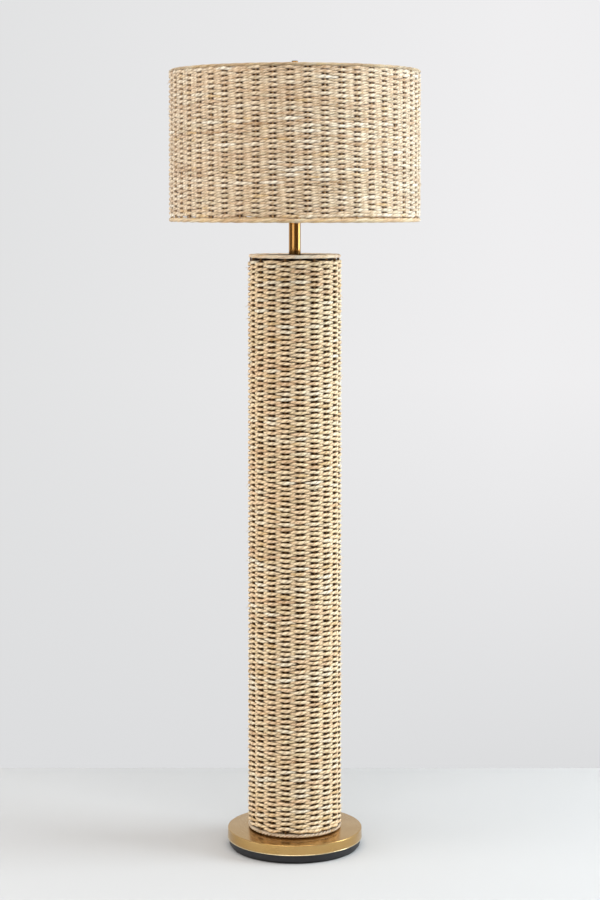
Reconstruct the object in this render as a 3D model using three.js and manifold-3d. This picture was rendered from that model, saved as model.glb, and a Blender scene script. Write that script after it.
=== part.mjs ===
// A floor lamp: a woven rattan column and a woven drum shade on a round brass base.
// Lengths are in millimetres. Z points up, the front looks along -Y, and the origin is
// the middle of the underside, where the lamp stands on the floor.

import * as THREE from "three";
import { mergeVertices } from "three/addons/utils/BufferGeometryUtils.js";
import Module from "manifold-3d";

const wasm = await Module();
wasm.setup();

// Fits that every piece shares
const seatGap = 0.3; // between a piece and the seat that carries or holds it
const runningGap = 0.5; // round a piece that turns or slides
const cutOverrun = 1; // how far a cutter runs past the face that it cuts

// How finely round pieces are divided
const baseSides = 48;
const socketSides = 24;
const smallSides = 12;
const spiderArmSides = 5;
const stakeSides = 4;
const harpRodSides = 6;
const harpRodSteps = 44;

// Base: a felt pad, a cast plate and a spun brass cover
const padThickness = 2.5;
const padInset = 4;
const plateDiameter = 264;
const plateShowing = 14.7; // height of the black edge below the cover
const plateBevel = 2.5;
const coverDiameter = 271;
const coverHeight = 20.5;
const coverWall = 1.5;
const coverBevel = 1.6;
const coverLipHeight = 2.2;
const recessDiameter = 70;
const recessDepth = 14;

// The cord's inlet in the back of the plate
const inletRise = 7.3; // from the plate's underside to the middle of the hole
const bushingDiameter = 10.4;
const bushingBore = 7.2;
const bushingLength = 14;
const bushingFlangeDiameter = 13;
const bushingFlangeThickness = 1.8;

// The threaded pipe that holds everything together, and its hardware
const pipeDiameter = 10;
const pipeBore = 6.5;
const pipePastNut = 3;
const pipeInCap = 8;
const nutAcrossFlats = 17;
const nutHeight = 6;
const washerDiameter = 34;
const washerThickness = 2;
const lockNutHeight = 4;

// Column: a welded wire cage, woven over, with a wrapped border at each end
const columnDiameter = 190;
const columnHeight = 1160; // from the brass to the rim
const columnStakes = 19;
const columnStakeTurn = 7; // degrees from the front to the nearest stake
const columnFootGap = 2;
const columnFootBorder = 7;
const columnRimBorder = 8;
const columnRimGap = 3; // bare stakes between the weave and the rim
const columnPlateThickness = 3;
const topPlateDrop = 3;

// What the two woven walls share
const stakeDiameter = 3.6;
const strandThickness = 4.4;
const ringBar = 4; // the square bar that the rings are bent from
const borderWall = 3.2; // beside the ring bar
const borderCrown = 2; // over or under the ring bar
const borderBevel = 2;

// Neck between the column and the lampholder
const neckDiameter = 24;
const neckWall = 1.5;
const neckLength = 128;
const neckCapDiameter = 28;
const neckCapThickness = 4;
const neckCapSpigot = 5;
const neckCapBevel = 1;

// Harp: a saddle on the neck, a sprung bow and two ferrules that lock it
const saddleSpan = 60;
const saddleWidth = 14;
const saddleThickness = 2;
const saddleArmHeight = 18;
const saddleCornerBevel = 2.5;
const saddleTabWidth = 5;
const harpHeight = 220;
const harpWidth = 116;
const harpRodDiameter = 3.2;
const harpWidestShare = 0.42; // of the bent part's height
const harpPadDiameter = 13;
const harpPadThickness = 4;
const ferruleLength = 14;
const ferruleWall = 1;
const ferruleTravel = 13;

// The swivel stud on top of the harp
const studDiameter = 6;
const studShankDiameter = 4.6;
const studHeadDiameter = 8;
const studHeadThickness = 1.5;
const studCollarDiameter = 12;
const studCollarThickness = 2.5;
const studThread = 13; // above the collar

// Lampholder
const socketCapDiameter = 34.2;
const socketCapHeight = 21.5;
const socketCollarDiameter = 16;
const socketCollarHeight = 7;
const socketFlareHeight = 6;
const brassSheet = 0.8;
const shellLength = 50.5;
const shellInCap = 6;
const linerWall = 0.7;
const linerShort = 1; // how far the liner stops below the shell's rim
const socketBodyHeight = 22;
const screwShellHeight = 25.5;
const screwShellWall = 0.7;
const screwShellHole = 14;
const contactDiameter = 7;
const contactHeight = 3.7;
const terminalFlat = 10.5; // from the axis to the flats under the screw heads
const terminalWidth = 12;
const terminalHeight = 12;
const terminalHeadDiameter = 6.4;
const terminalHeadThickness = 1.6;
const terminalShankDiameter = 3.5;
const terminalShankLength = 4;
const capScrewDiameter = 3;
const capScrewLength = 5;

// Turn key of the switch
const switchRise = 11; // above the foot of the socket body
const switchShaftDiameter = 6;
const switchShaftDepth = 9; // inside the socket body
const switchShaftReach = 8; // outside the shell
const keyCollarDiameter = 10;
const keyCollarLength = 7;
const keyClearOfShell = 3;
const keyPaddleWidth = 17;
const keyPaddleLength = 12;
const keyPaddleThickness = 3;
const keyPaddleRound = 5;

// Bulb
const bulbTipDiameter = 9.4;
const bulbTipHeight = 2.5;
const bulbInsulatorHeight = 5;
const bulbInsulatorDiameter = 22;
const bulbCapDiameter = 25.8;
const bulbCapHeight = 19;
const bulbBodyHeight = 30;
const bulbBodyTopDiameter = 56;
const bulbGlobeDiameter = 60;
const bulbGlobeHeight = 53;
const bulbGlobeWall = 1.2;
const bulbGlobeArcs = 6;

// Shade: a wire frame on a three-armed spider, woven over, with a wrapped border at each end
const shadeDiameter = 508;
const shadeHeight = 305;
const shadeStakes = 47;
const shadeStakeTurn = -2;
const shadeRimBorder = 8;
const shadeFootBorder = 9;
const spiderDrop = 12;
const spiderArms = 3;
const spiderArmDiameter = 3.6;
const spiderHubDiameter = 26;
const spiderHubThickness = 2;

// Finial
const finialHeight = 29;
const finialFootDiameter = 12;
const finialWaistDiameter = 8;
const finialTopDiameter = 12.6;
const finialFootShare = 0.16; // of its height
const finialWaistShare = 0.34;
const finialShoulderShare = 0.52;
const finialBevel = 1.4;

// Finishes
const brass = new THREE.MeshStandardMaterial({ color: 0xc49a5a, roughness: 0.35, metalness: 1 });
const steel = new THREE.MeshStandardMaterial({ color: 0xb9bbbe, roughness: 0.45, metalness: 1 });
const blackIron = new THREE.MeshStandardMaterial({ color: 0x2c2c2f, roughness: 0.7, metalness: 0.1 });
const felt = new THREE.MeshStandardMaterial({ color: 0x1d1c1b, roughness: 0.95, metalness: 0 });
const rattan = new THREE.MeshStandardMaterial({ color: 0xd8bb90, roughness: 0.8, metalness: 0 });
const paintedWire = new THREE.MeshStandardMaterial({ color: 0xb99468, roughness: 0.6, metalness: 0.2 });
const phenolic = new THREE.MeshStandardMaterial({ color: 0x241f1c, roughness: 0.5, metalness: 0 });
const paper = new THREE.MeshStandardMaterial({ color: 0xb9a078, roughness: 0.9, metalness: 0 });
const whitePlastic = new THREE.MeshStandardMaterial({ color: 0xf0efea, roughness: 0.4, metalness: 0 });
const frosted = new THREE.MeshStandardMaterial({ color: 0xf7f4ea, roughness: 0.5, metalness: 0 });

// Sizes that follow from the ones above

const plateRadius = plateDiameter / 2;
const coverRadius = coverDiameter / 2;
const pipeHoleRadius = pipeDiameter / 2 + seatGap;
const plateFoot = padThickness + seatGap;
const coverFoot = plateFoot + plateShowing;
const baseTop = coverFoot + coverHeight;
const recessTop = plateFoot + recessDepth;

const wovenWall = stakeDiameter + 2 * strandThickness;
const columnStakeRadius = (columnDiameter - wovenWall) / 2;
const shadeStakeRadius = (shadeDiameter - wovenWall) / 2;
const columnSides = 2 * columnStakes;
const borderHalfWidth = ringBar / 2 + seatGap + borderWall;
const borderToRing = ringBar / 2 + seatGap + borderCrown;
const columnPlateRadius = columnStakeRadius - borderHalfWidth - seatGap;

const columnTop = baseTop + columnHeight;
const topPlateTop = columnTop - topPlateDrop;
const neckFoot = topPlateTop + seatGap;
const neckCapFoot = neckFoot + neckLength + seatGap;
const saddleFoot = neckCapFoot + neckCapThickness + seatGap;
const lockNutFoot = saddleFoot + saddleThickness + seatGap;
const socketFoot = lockNutFoot + lockNutHeight + seatGap;
const pipeTop = socketFoot + pipeInCap;

const shellRadius = socketCapDiameter / 2 - brassSheet - seatGap;
const linerRadius = shellRadius - brassSheet - seatGap;
const socketBodyRadius = linerRadius - linerWall - seatGap;
const shellFoot = socketFoot + socketCapHeight - shellInCap;
const shellTop = shellFoot + shellLength;
const socketBodyFoot = shellFoot + seatGap;
const socketBodyTop = socketBodyFoot + socketBodyHeight;
const screwShellFoot = socketBodyTop + seatGap;
const bulbFoot = screwShellFoot + contactHeight + seatGap;
const switchHeight = socketBodyFoot + switchRise;
const switchHoleRadius = switchShaftDiameter / 2 + runningGap;

const harpTop = saddleFoot + harpHeight;
const studFoot = harpTop - harpPadThickness / 2 - seatGap - studHeadThickness;
const studCollarFoot = harpTop + harpPadThickness / 2 + seatGap;
const hubFoot = studCollarFoot + studCollarThickness + seatGap;
const hubTop = hubFoot + spiderHubThickness;
const shadeTop = hubTop + spiderDrop;
const shadeFoot = shadeTop - shadeHeight;
const finialFoot = hubTop + seatGap;

const frontward = new THREE.Vector3(0, -1, 0);

// A copy of a geometry as one closed surface: shared corners merged, flat triangles dropped.
function welded(geometry) {
  const bare = geometry.clone();
  bare.deleteAttribute("normal");
  bare.deleteAttribute("uv");
  const merged = mergeVertices(bare);
  const corners = merged.index.array;
  const kept = [];
  for (let i = 0; i < corners.length; i += 3) {
    const [a, b, c] = corners.slice(i, i + 3);
    if (a !== b && b !== c && c !== a) kept.push(a, b, c);
  }
  merged.setIndex(kept);
  return merged;
}

function solidOf(geometry) {
  const closed = welded(geometry);
  const vertProperties = new Float32Array(closed.attributes.position.array);
  const triVerts = new Uint32Array(closed.index.array);
  return new wasm.Manifold(new wasm.Mesh({ numProp: 3, vertProperties, triVerts }));
}

function geometryOf(solid) {
  const { vertProperties, triVerts } = solid.getMesh();
  const geometry = new THREE.BufferGeometry();
  geometry.setAttribute("position", new THREE.BufferAttribute(vertProperties, 3));
  geometry.setIndex(new THREE.BufferAttribute(triVerts, 1));
  return geometry;
}

function joined(geometries) {
  return geometryOf(geometries.map(solidOf).reduce((whole, next) => whole.add(next)));
}

function cut(geometry, cutters) {
  return geometryOf(cutters.map(solidOf).reduce((rest, cutter) => rest.subtract(cutter), solidOf(geometry)));
}

// A profile of [radius, height] points turned about Z. It starts and ends on the axis, or is a ring.
function turned(profile, sides, startAngle = 0) {
  const points = profile.map(([radius, height]) => new THREE.Vector2(radius, height));
  if (THREE.ShapeUtils.area(points) < 0) points.reverse();
  const reachesAxis = points.some((point) => point.x === 0);
  if (!reachesAxis) points.push(points[0].clone());
  const geometry = new THREE.LatheGeometry(points, sides, startAngle);
  geometry.rotateX(Math.PI / 2);
  return welded(geometry);
}

function tube(outerRadius, innerRadius, foot, top, sides, startAngle = 0) {
  return turned(
    [
      [innerRadius, foot],
      [outerRadius, foot],
      [outerRadius, top],
      [innerRadius, top],
    ],
    sides,
    startAngle,
  );
}

function drum(radius, foot, top, sides) {
  return turned(
    [
      [0, foot],
      [radius, foot],
      [radius, top],
      [0, top],
    ],
    sides,
  );
}

// A straight rod between two points.
function rod(start, end, radius, sides) {
  const along = end.clone().sub(start);
  const geometry = new THREE.CylinderGeometry(radius, radius, along.length(), sides);
  const up = new THREE.Vector3(0, 1, 0);
  const turn = new THREE.Quaternion().setFromUnitVectors(up, along.normalize());
  geometry.applyQuaternion(turn);
  const middle = start.clone().lerp(end, 1 / 2);
  geometry.translate(middle.x, middle.y, middle.z);
  return geometry;
}

// An upright block between two corners.
function block(low, high) {
  const size = high.clone().sub(low);
  const middle = low.clone().lerp(high, 1 / 2);
  const geometry = new THREE.BoxGeometry(size.x, size.y, size.z);
  geometry.translate(middle.x, middle.y, middle.z);
  return geometry;
}

// A point at a radius and an angle round the axis, which starts at the front.
function pointAt(radius, angle, height) {
  return new THREE.Vector3(radius * Math.sin(angle), -radius * Math.cos(angle), height);
}

function hexNut(foot, height) {
  const cornerRadius = nutAcrossFlats / Math.sqrt(3);
  const blank = drum(cornerRadius, foot, foot + height, 6);
  const bore = drum(pipeHoleRadius, foot - cutOverrun, foot + height + cutOverrun, smallSides);
  return cut(blank, [bore]);
}

function mesh(name, geometry, material) {
  const made = new THREE.Mesh(geometry, material);
  made.name = name;
  return made;
}

// Base

function makeBasePad() {
  return drum(plateRadius - padInset, 0, padThickness, baseSides);
}

function makeBaseWeight() {
  const top = baseTop - coverWall - seatGap;
  const casting = turned(
    [
      [pipeHoleRadius, recessTop],
      [recessDiameter / 2, recessTop],
      [recessDiameter / 2, plateFoot],
      [plateRadius - plateBevel, plateFoot],
      [plateRadius, plateFoot + plateBevel],
      [plateRadius, top - plateBevel],
      [plateRadius - plateBevel, top],
      [pipeHoleRadius, top],
    ],
    baseSides,
  );
  const height = plateFoot + inletRise;
  const inside = new THREE.Vector3(0, recessDiameter / 2 - cutOverrun, height);
  const outside = new THREE.Vector3(0, plateRadius + cutOverrun, height);
  return cut(casting, [rod(inside, outside, bushingDiameter / 2 + seatGap, smallSides)]);
}

function makeBaseCover() {
  const innerRadius = coverRadius - coverWall;
  const innerTop = baseTop - coverWall;
  const lipRadius = plateRadius + seatGap;
  return turned(
    [
      [pipeHoleRadius, innerTop],
      [innerRadius - coverBevel, innerTop],
      [innerRadius, innerTop - coverBevel],
      [innerRadius, coverFoot + coverLipHeight],
      [lipRadius, coverFoot + coverLipHeight],
      [lipRadius, coverFoot],
      [coverRadius, coverFoot],
      [coverRadius, baseTop - coverBevel],
      [coverRadius - coverBevel, baseTop],
      [pipeHoleRadius, baseTop],
    ],
    baseSides,
  );
}

function makeCordBushing() {
  const flangeFoot = plateRadius + seatGap;
  const bushing = turned(
    [
      [bushingBore / 2, flangeFoot - bushingLength],
      [bushingDiameter / 2, flangeFoot - bushingLength],
      [bushingDiameter / 2, flangeFoot],
      [bushingFlangeDiameter / 2, flangeFoot],
      [bushingFlangeDiameter / 2, flangeFoot + bushingFlangeThickness],
      [bushingBore / 2, flangeFoot + bushingFlangeThickness],
    ],
    smallSides,
  );
  bushing.rotateX(-Math.PI / 2);
  return bushing;
}

function makeBaseWasher() {
  const top = recessTop - seatGap;
  return tube(washerDiameter / 2, pipeHoleRadius, top - washerThickness, top, socketSides);
}

function baseNutFoot() {
  return recessTop - seatGap - washerThickness - seatGap - nutHeight;
}

function makeCenterPipe() {
  return tube(pipeDiameter / 2, pipeBore / 2, baseNutFoot() - pipePastNut, pipeTop, smallSides);
}

// Woven walls

// Rings, borders and end plates have a flat, not a corner, in front of each stake.
function flatToStake(sides) {
  return Math.PI / sides;
}

// A ring of stakes, or a piece that fits one, turned about the axis to where its stakes stand.
function faced(geometry, degrees) {
  return geometry.rotateZ(THREE.MathUtils.degToRad(degrees));
}

// A wrapped border: a channel round a ring bar. The opening faces down on a rim, up on a foot.
function wrappedBorder(ringRadius, outerFace, height, isRim, sides) {
  const inwards = isRim ? -1 : 1;
  const channel = ringBar / 2 + seatGap;
  const section = [
    [-borderHalfWidth, height],
    [-borderHalfWidth, borderBevel],
    [borderBevel - borderHalfWidth, 0],
    [borderHalfWidth - borderBevel, 0],
    [borderHalfWidth, borderBevel],
    [borderHalfWidth, height],
    [channel, height],
    [channel, borderCrown],
    [-channel, borderCrown],
    [-channel, height],
  ];
  const profile = section.map(([out, depth]) => [ringRadius + out, outerFace + inwards * depth]);
  return turned(profile, sides, flatToStake(sides));
}

function ring(ringRadius, height, sides) {
  const half = ringBar / 2;
  return tube(ringRadius + half, ringRadius - half, height - half, height + half, sides, flatToStake(sides));
}

// Stakes under the middles of a ring's flats.
function stakesRound(count, ringRadius, ringSides, radius, foot, top) {
  const middleOfFlat = ringRadius * Math.cos(Math.PI / ringSides);
  const stakes = [];
  for (let i = 0; i < count; i += 1) {
    const angle = (2 * Math.PI * i) / count;
    const stake = new THREE.CylinderGeometry(radius, radius, top - foot, stakeSides);
    stake.rotateX(Math.PI / 2);
    stake.rotateZ(angle);
    const place = pointAt(middleOfFlat, angle, (foot + top) / 2);
    stake.translate(place.x, place.y, place.z);
    stakes.push(stake);
  }
  return stakes;
}

// The woven wall, with a bore for each stake.
function wovenTube(outerRadius, stakeRadius, stakeCount, foot, top, ringSides) {
  const innerRadius = outerRadius - wovenWall;
  const low = foot - cutOverrun;
  const high = top + cutOverrun;
  const outer = drum(outerRadius, foot, top, 2 * stakeCount);
  const hollow = drum(innerRadius, low, high, ringSides);
  const bores = stakesRound(stakeCount, stakeRadius, ringSides, stakeDiameter / 2 + seatGap, low, high);
  return cut(outer, [hollow, ...bores]);
}

// Column

const columnFootFace = baseTop + columnFootGap;
const columnFootRing = columnFootFace + borderToRing;
const columnRimRing = columnTop - borderToRing;

function columnPlate(foot) {
  const top = foot + columnPlateThickness;
  const plate = tube(columnPlateRadius, pipeHoleRadius, foot, top, columnSides, flatToStake(columnSides));
  return faced(plate, columnStakeTurn);
}

function makeColumnTopNut() {
  return hexNut(topPlateTop - columnPlateThickness - seatGap - nutHeight, nutHeight);
}

function makeColumnCage() {
  const cage = joined([
    ring(columnStakeRadius, columnFootRing, columnSides),
    ring(columnStakeRadius, columnRimRing, columnSides),
    ...stakesRound(
      columnStakes,
      columnStakeRadius,
      columnSides,
      stakeDiameter / 2,
      columnFootRing,
      columnRimRing,
    ),
  ]);
  return faced(cage, columnStakeTurn);
}

function makeColumnWeave() {
  const foot = columnFootFace + columnFootBorder + seatGap;
  const top = columnTop - columnRimBorder - columnRimGap;
  const radius = columnDiameter / 2;
  return faced(wovenTube(radius, columnStakeRadius, columnStakes, foot, top, columnSides), columnStakeTurn);
}

function makeColumnRim() {
  const border = wrappedBorder(columnStakeRadius, columnTop, columnRimBorder, true, columnSides);
  return faced(border, columnStakeTurn);
}

function makeColumnFootBorder() {
  const border = wrappedBorder(columnStakeRadius, columnFootFace, columnFootBorder, false, columnSides);
  return faced(border, columnStakeTurn);
}

// Neck

function makeNeckTube() {
  return tube(neckDiameter / 2, neckDiameter / 2 - neckWall, neckFoot, neckFoot + neckLength, socketSides);
}

function makeNeckCap() {
  const spigotRadius = neckDiameter / 2 - neckWall - seatGap;
  const top = neckCapFoot + neckCapThickness;
  return turned(
    [
      [pipeHoleRadius, neckCapFoot - neckCapSpigot],
      [spigotRadius, neckCapFoot - neckCapSpigot],
      [spigotRadius, neckCapFoot],
      [neckCapDiameter / 2, neckCapFoot],
      [neckCapDiameter / 2, top - neckCapBevel],
      [neckCapDiameter / 2 - neckCapBevel, top],
      [pipeHoleRadius, top],
    ],
    socketSides,
  );
}

// Harp

const saddleArmTop = saddleFoot + saddleArmHeight;
const saddleTabTop = saddleArmTop + ferruleTravel - runningGap; // a raised ferrule clears it
const harpLegX = saddleSpan / 2 + seatGap + harpRodDiameter / 2;
const harpLegFoot = saddleArmTop + seatGap;
const harpLegTop = harpLegFoot + ferruleLength + ferruleTravel + runningGap;
const ferruleX = (saddleSpan / 2 - saddleThickness + harpLegX + harpRodDiameter / 2) / 2;
const ferruleBoreRadius =
  Math.hypot(ferruleX - saddleSpan / 2 + saddleThickness, saddleTabWidth / 2) + runningGap;

function makeHarpSaddle() {
  const half = saddleSpan / 2;
  const inner = half - saddleThickness;
  const arm = saddleArmHeight;
  const outline = [
    [-half, arm],
    [-half, saddleCornerBevel],
    [saddleCornerBevel - half, 0],
    [half - saddleCornerBevel, 0],
    [half, saddleCornerBevel],
    [half, arm],
    [inner, arm],
    [inner, saddleThickness],
    [-inner, saddleThickness],
    [-inner, arm],
  ];
  const shape = new THREE.Shape(outline.map(([x, z]) => new THREE.Vector2(x, z)));
  const strip = new THREE.ExtrudeGeometry(shape, { depth: saddleWidth, bevelEnabled: false });
  strip.translate(0, 0, -saddleWidth / 2);
  strip.rotateX(Math.PI / 2);
  strip.translate(0, 0, saddleFoot);
  const tabHalf = saddleTabWidth / 2;
  const tabFoot = saddleArmTop - saddleThickness;
  const tabs = [
    block(new THREE.Vector3(inner, -tabHalf, tabFoot), new THREE.Vector3(half, tabHalf, saddleTabTop)),
    block(new THREE.Vector3(-half, -tabHalf, tabFoot), new THREE.Vector3(-inner, tabHalf, saddleTabTop)),
  ];
  const holeTop = saddleFoot + saddleThickness + cutOverrun;
  const hole = drum(pipeHoleRadius, saddleFoot - cutOverrun, holeTop, smallSides);
  return cut(joined([strip, ...tabs]), [hole]);
}

// The bow's middle line: up one leg, out to the widest place, over the top and down again.
function harpPath() {
  const widest = harpLegTop + (harpTop - harpLegTop) * harpWidestShare;
  const rise = widest - harpLegTop;
  const crown = harpTop - widest;
  const halfWidth = harpWidth / 2;
  const easeShare = 0.5;
  const roundShare = 0.5523; // a cubic's handle for a quarter of an ellipse
  const at = (x, z) => new THREE.Vector3(x, 0, z);
  const path = new THREE.CurvePath();
  path.add(new THREE.LineCurve3(at(-harpLegX, harpLegFoot), at(-harpLegX, harpLegTop)));
  path.add(
    new THREE.CubicBezierCurve3(
      at(-harpLegX, harpLegTop),
      at(-harpLegX, harpLegTop + rise * easeShare),
      at(-halfWidth, widest - rise * easeShare),
      at(-halfWidth, widest),
    ),
  );
  path.add(
    new THREE.CubicBezierCurve3(
      at(-halfWidth, widest),
      at(-halfWidth, widest + crown * roundShare),
      at(-halfWidth * roundShare, harpTop),
      at(0, harpTop),
    ),
  );
  path.add(
    new THREE.CubicBezierCurve3(
      at(0, harpTop),
      at(halfWidth * roundShare, harpTop),
      at(halfWidth, widest + crown * roundShare),
      at(halfWidth, widest),
    ),
  );
  path.add(
    new THREE.CubicBezierCurve3(
      at(halfWidth, widest),
      at(halfWidth, widest - rise * easeShare),
      at(harpLegX, harpLegTop + rise * easeShare),
      at(harpLegX, harpLegTop),
    ),
  );
  path.add(new THREE.LineCurve3(at(harpLegX, harpLegTop), at(harpLegX, harpLegFoot)));
  return path;
}

function makeHarpBow() {
  const section = new THREE.Shape();
  for (let i = 0; i < harpRodSides; i += 1) {
    const angle = (2 * Math.PI * i) / harpRodSides;
    const x = (harpRodDiameter / 2) * Math.cos(angle);
    const y = (harpRodDiameter / 2) * Math.sin(angle);
    if (i === 0) section.moveTo(x, y);
    else section.lineTo(x, y);
  }
  const bow = new THREE.ExtrudeGeometry(section, { steps: harpRodSteps, extrudePath: harpPath() });
  const padFoot = harpTop - harpPadThickness / 2;
  const padTop = harpTop + harpPadThickness / 2;
  const pad = drum(harpPadDiameter / 2, padFoot, padTop, smallSides);
  const holeRadius = studShankDiameter / 2 + seatGap;
  const hole = drum(holeRadius, padFoot - cutOverrun, padTop + cutOverrun, smallSides);
  return cut(joined([bow, pad]), [hole]);
}

function makeHarpFerrule() {
  const foot = saddleArmTop + seatGap;
  const outerRadius = ferruleBoreRadius + ferruleWall;
  return tube(outerRadius, ferruleBoreRadius, foot, foot + ferruleLength, smallSides);
}

function makeHarpStud() {
  const shankFoot = studFoot + studHeadThickness;
  const collarTop = studCollarFoot + studCollarThickness;
  return turned(
    [
      [0, studFoot],
      [studHeadDiameter / 2, studFoot],
      [studHeadDiameter / 2, shankFoot],
      [studShankDiameter / 2, shankFoot],
      [studShankDiameter / 2, studCollarFoot],
      [studCollarDiameter / 2, studCollarFoot],
      [studCollarDiameter / 2, collarTop],
      [studDiameter / 2, collarTop],
      [studDiameter / 2, collarTop + studThread],
      [0, collarTop + studThread],
    ],
    smallSides,
  );
}

// Lampholder

function makeSocketCap() {
  const radius = socketCapDiameter / 2;
  const collarTop = socketFoot + socketCollarHeight;
  const flareTop = collarTop + socketFlareHeight;
  const top = socketFoot + socketCapHeight;
  const cap = turned(
    [
      [pipeHoleRadius, socketFoot],
      [socketCollarDiameter / 2, socketFoot],
      [socketCollarDiameter / 2, collarTop],
      [radius, flareTop],
      [radius, top],
      [radius - brassSheet, top],
      [radius - brassSheet, flareTop + brassSheet],
      [pipeHoleRadius, collarTop + brassSheet],
    ],
    socketSides,
  );
  return cut(cap, [capScrewRod(capScrewDiameter / 2 + seatGap, cutOverrun)]);
}

// The grub screw's rod: from just outside the pipe to the face of the cap's collar and beyond.
function capScrewRod(radius, inwards) {
  const height = socketFoot + socketCollarHeight / 2;
  const inside = pipeDiameter / 2 + seatGap - inwards;
  const start = new THREE.Vector3(inside, 0, height);
  const end = new THREE.Vector3(inside + inwards + capScrewLength, 0, height);
  return rod(start, end, radius, smallSides);
}

function makeCapScrew() {
  return capScrewRod(capScrewDiameter / 2, 0);
}

function switchHole() {
  const inner = frontward.clone().multiplyScalar(socketBodyRadius - switchShaftDepth - seatGap);
  const outer = frontward.clone().multiplyScalar(shellRadius + cutOverrun);
  inner.z = switchHeight;
  outer.z = switchHeight;
  return rod(inner, outer, switchHoleRadius, smallSides);
}

function makeSocketShell() {
  const wall = tube(shellRadius, shellRadius - brassSheet, shellFoot, shellTop, socketSides);
  return cut(wall, [switchHole()]);
}

function makeSocketLiner() {
  const wall = tube(linerRadius, linerRadius - linerWall, socketBodyFoot, shellTop - linerShort, socketSides);
  return cut(wall, [switchHole()]);
}

function terminalMiddle() {
  return socketBodyFoot + socketBodyHeight / 2;
}

function makeSocketBody() {
  const body = drum(socketBodyRadius, socketBodyFoot, socketBodyTop, socketSides);
  const cutters = [switchHole()];
  const middle = terminalMiddle();
  for (const side of [-1, 1]) {
    const near = side * terminalFlat;
    const far = side * (socketBodyRadius + cutOverrun);
    const low = new THREE.Vector3(Math.min(near, far), -terminalWidth / 2, middle - terminalHeight / 2);
    const high = new THREE.Vector3(Math.max(near, far), terminalWidth / 2, middle + terminalHeight / 2);
    cutters.push(block(low, high));
    const holeEnd = new THREE.Vector3(near - side * (terminalShankLength + seatGap), 0, middle);
    const holeStart = new THREE.Vector3(far, 0, middle);
    cutters.push(rod(holeEnd, holeStart, terminalShankDiameter / 2 + seatGap, smallSides));
  }
  return cut(body, cutters);
}

function makeTerminalScrew(side) {
  const headFoot = terminalFlat + seatGap;
  const screw = turned(
    [
      [0, headFoot - terminalShankLength],
      [terminalShankDiameter / 2, headFoot - terminalShankLength],
      [terminalShankDiameter / 2, headFoot],
      [terminalHeadDiameter / 2, headFoot],
      [terminalHeadDiameter / 2, headFoot + terminalHeadThickness],
      [0, headFoot + terminalHeadThickness],
    ],
    smallSides,
  );
  screw.rotateY((side * Math.PI) / 2);
  screw.translate(0, 0, terminalMiddle());
  return screw;
}

function makeScrewShell() {
  const outer = socketBodyRadius;
  const inner = outer - screwShellWall;
  return turned(
    [
      [screwShellHole / 2, screwShellFoot],
      [outer, screwShellFoot],
      [outer, screwShellFoot + screwShellHeight],
      [inner, screwShellFoot + screwShellHeight],
      [inner, screwShellFoot + screwShellWall],
      [screwShellHole / 2, screwShellFoot + screwShellWall],
    ],
    socketSides,
  );
}

function makeCenterContact() {
  return drum(contactDiameter / 2, screwShellFoot, screwShellFoot + contactHeight, smallSides);
}

function makeSwitchShaft() {
  const start = frontward.clone().multiplyScalar(socketBodyRadius - switchShaftDepth);
  const end = frontward.clone().multiplyScalar(shellRadius + switchShaftReach);
  start.z = switchHeight;
  end.z = switchHeight;
  return rod(start, end, switchShaftDiameter / 2, smallSides);
}

// The key: a collar with a blind bore over the shaft, and a flat paddle to turn it by.
function makeSwitchKey() {
  const collarStart = shellRadius + keyClearOfShell;
  const boreEnd = shellRadius + switchShaftReach + seatGap;
  const collarEnd = Math.max(collarStart + keyCollarLength, boreEnd + brassSheet);
  const boreRadius = switchShaftDiameter / 2 + seatGap;
  const collar = turned(
    [
      [0, boreEnd],
      [boreRadius, boreEnd],
      [boreRadius, collarStart],
      [keyCollarDiameter / 2, collarStart],
      [keyCollarDiameter / 2, collarEnd],
      [0, collarEnd],
    ],
    smallSides,
  );
  const paddleFoot = collarEnd - brassSheet;
  const paddleTop = collarEnd + keyPaddleLength;
  const half = keyPaddleWidth / 2;
  const outline = [
    [-keyCollarDiameter / 2, paddleFoot],
    [keyCollarDiameter / 2, paddleFoot],
    [half, paddleFoot + keyPaddleRound],
    [half, paddleTop - keyPaddleRound],
    [half - keyPaddleRound, paddleTop],
    [keyPaddleRound - half, paddleTop],
    [-half, paddleTop - keyPaddleRound],
    [-half, paddleFoot + keyPaddleRound],
  ];
  const shape = new THREE.Shape(outline.map(([x, y]) => new THREE.Vector2(x, y)));
  const paddle = new THREE.ExtrudeGeometry(shape, { depth: keyPaddleThickness, bevelEnabled: false });
  paddle.translate(0, 0, -keyPaddleThickness / 2);
  paddle.rotateX(Math.PI / 2);
  const key = joined([collar, paddle]);
  key.rotateX(Math.PI / 2);
  key.translate(0, 0, switchHeight);
  return key;
}

// Bulb

const bulbInsulatorFoot = bulbFoot + bulbTipHeight + seatGap;
const bulbCapFoot = bulbInsulatorFoot + bulbInsulatorHeight + seatGap;
const bulbBodyFoot = bulbCapFoot + bulbCapHeight + seatGap;
const bulbGlobeFoot = bulbBodyFoot + bulbBodyHeight + seatGap;

function makeBulbTip() {
  return drum(bulbTipDiameter / 2, bulbFoot, bulbFoot + bulbTipHeight, smallSides);
}

function makeBulbInsulator() {
  const top = bulbInsulatorFoot + bulbInsulatorHeight;
  return turned(
    [
      [0, bulbInsulatorFoot],
      [bulbTipDiameter / 2, bulbInsulatorFoot],
      [bulbInsulatorDiameter / 2, top],
      [0, top],
    ],
    socketSides,
  );
}

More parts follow.
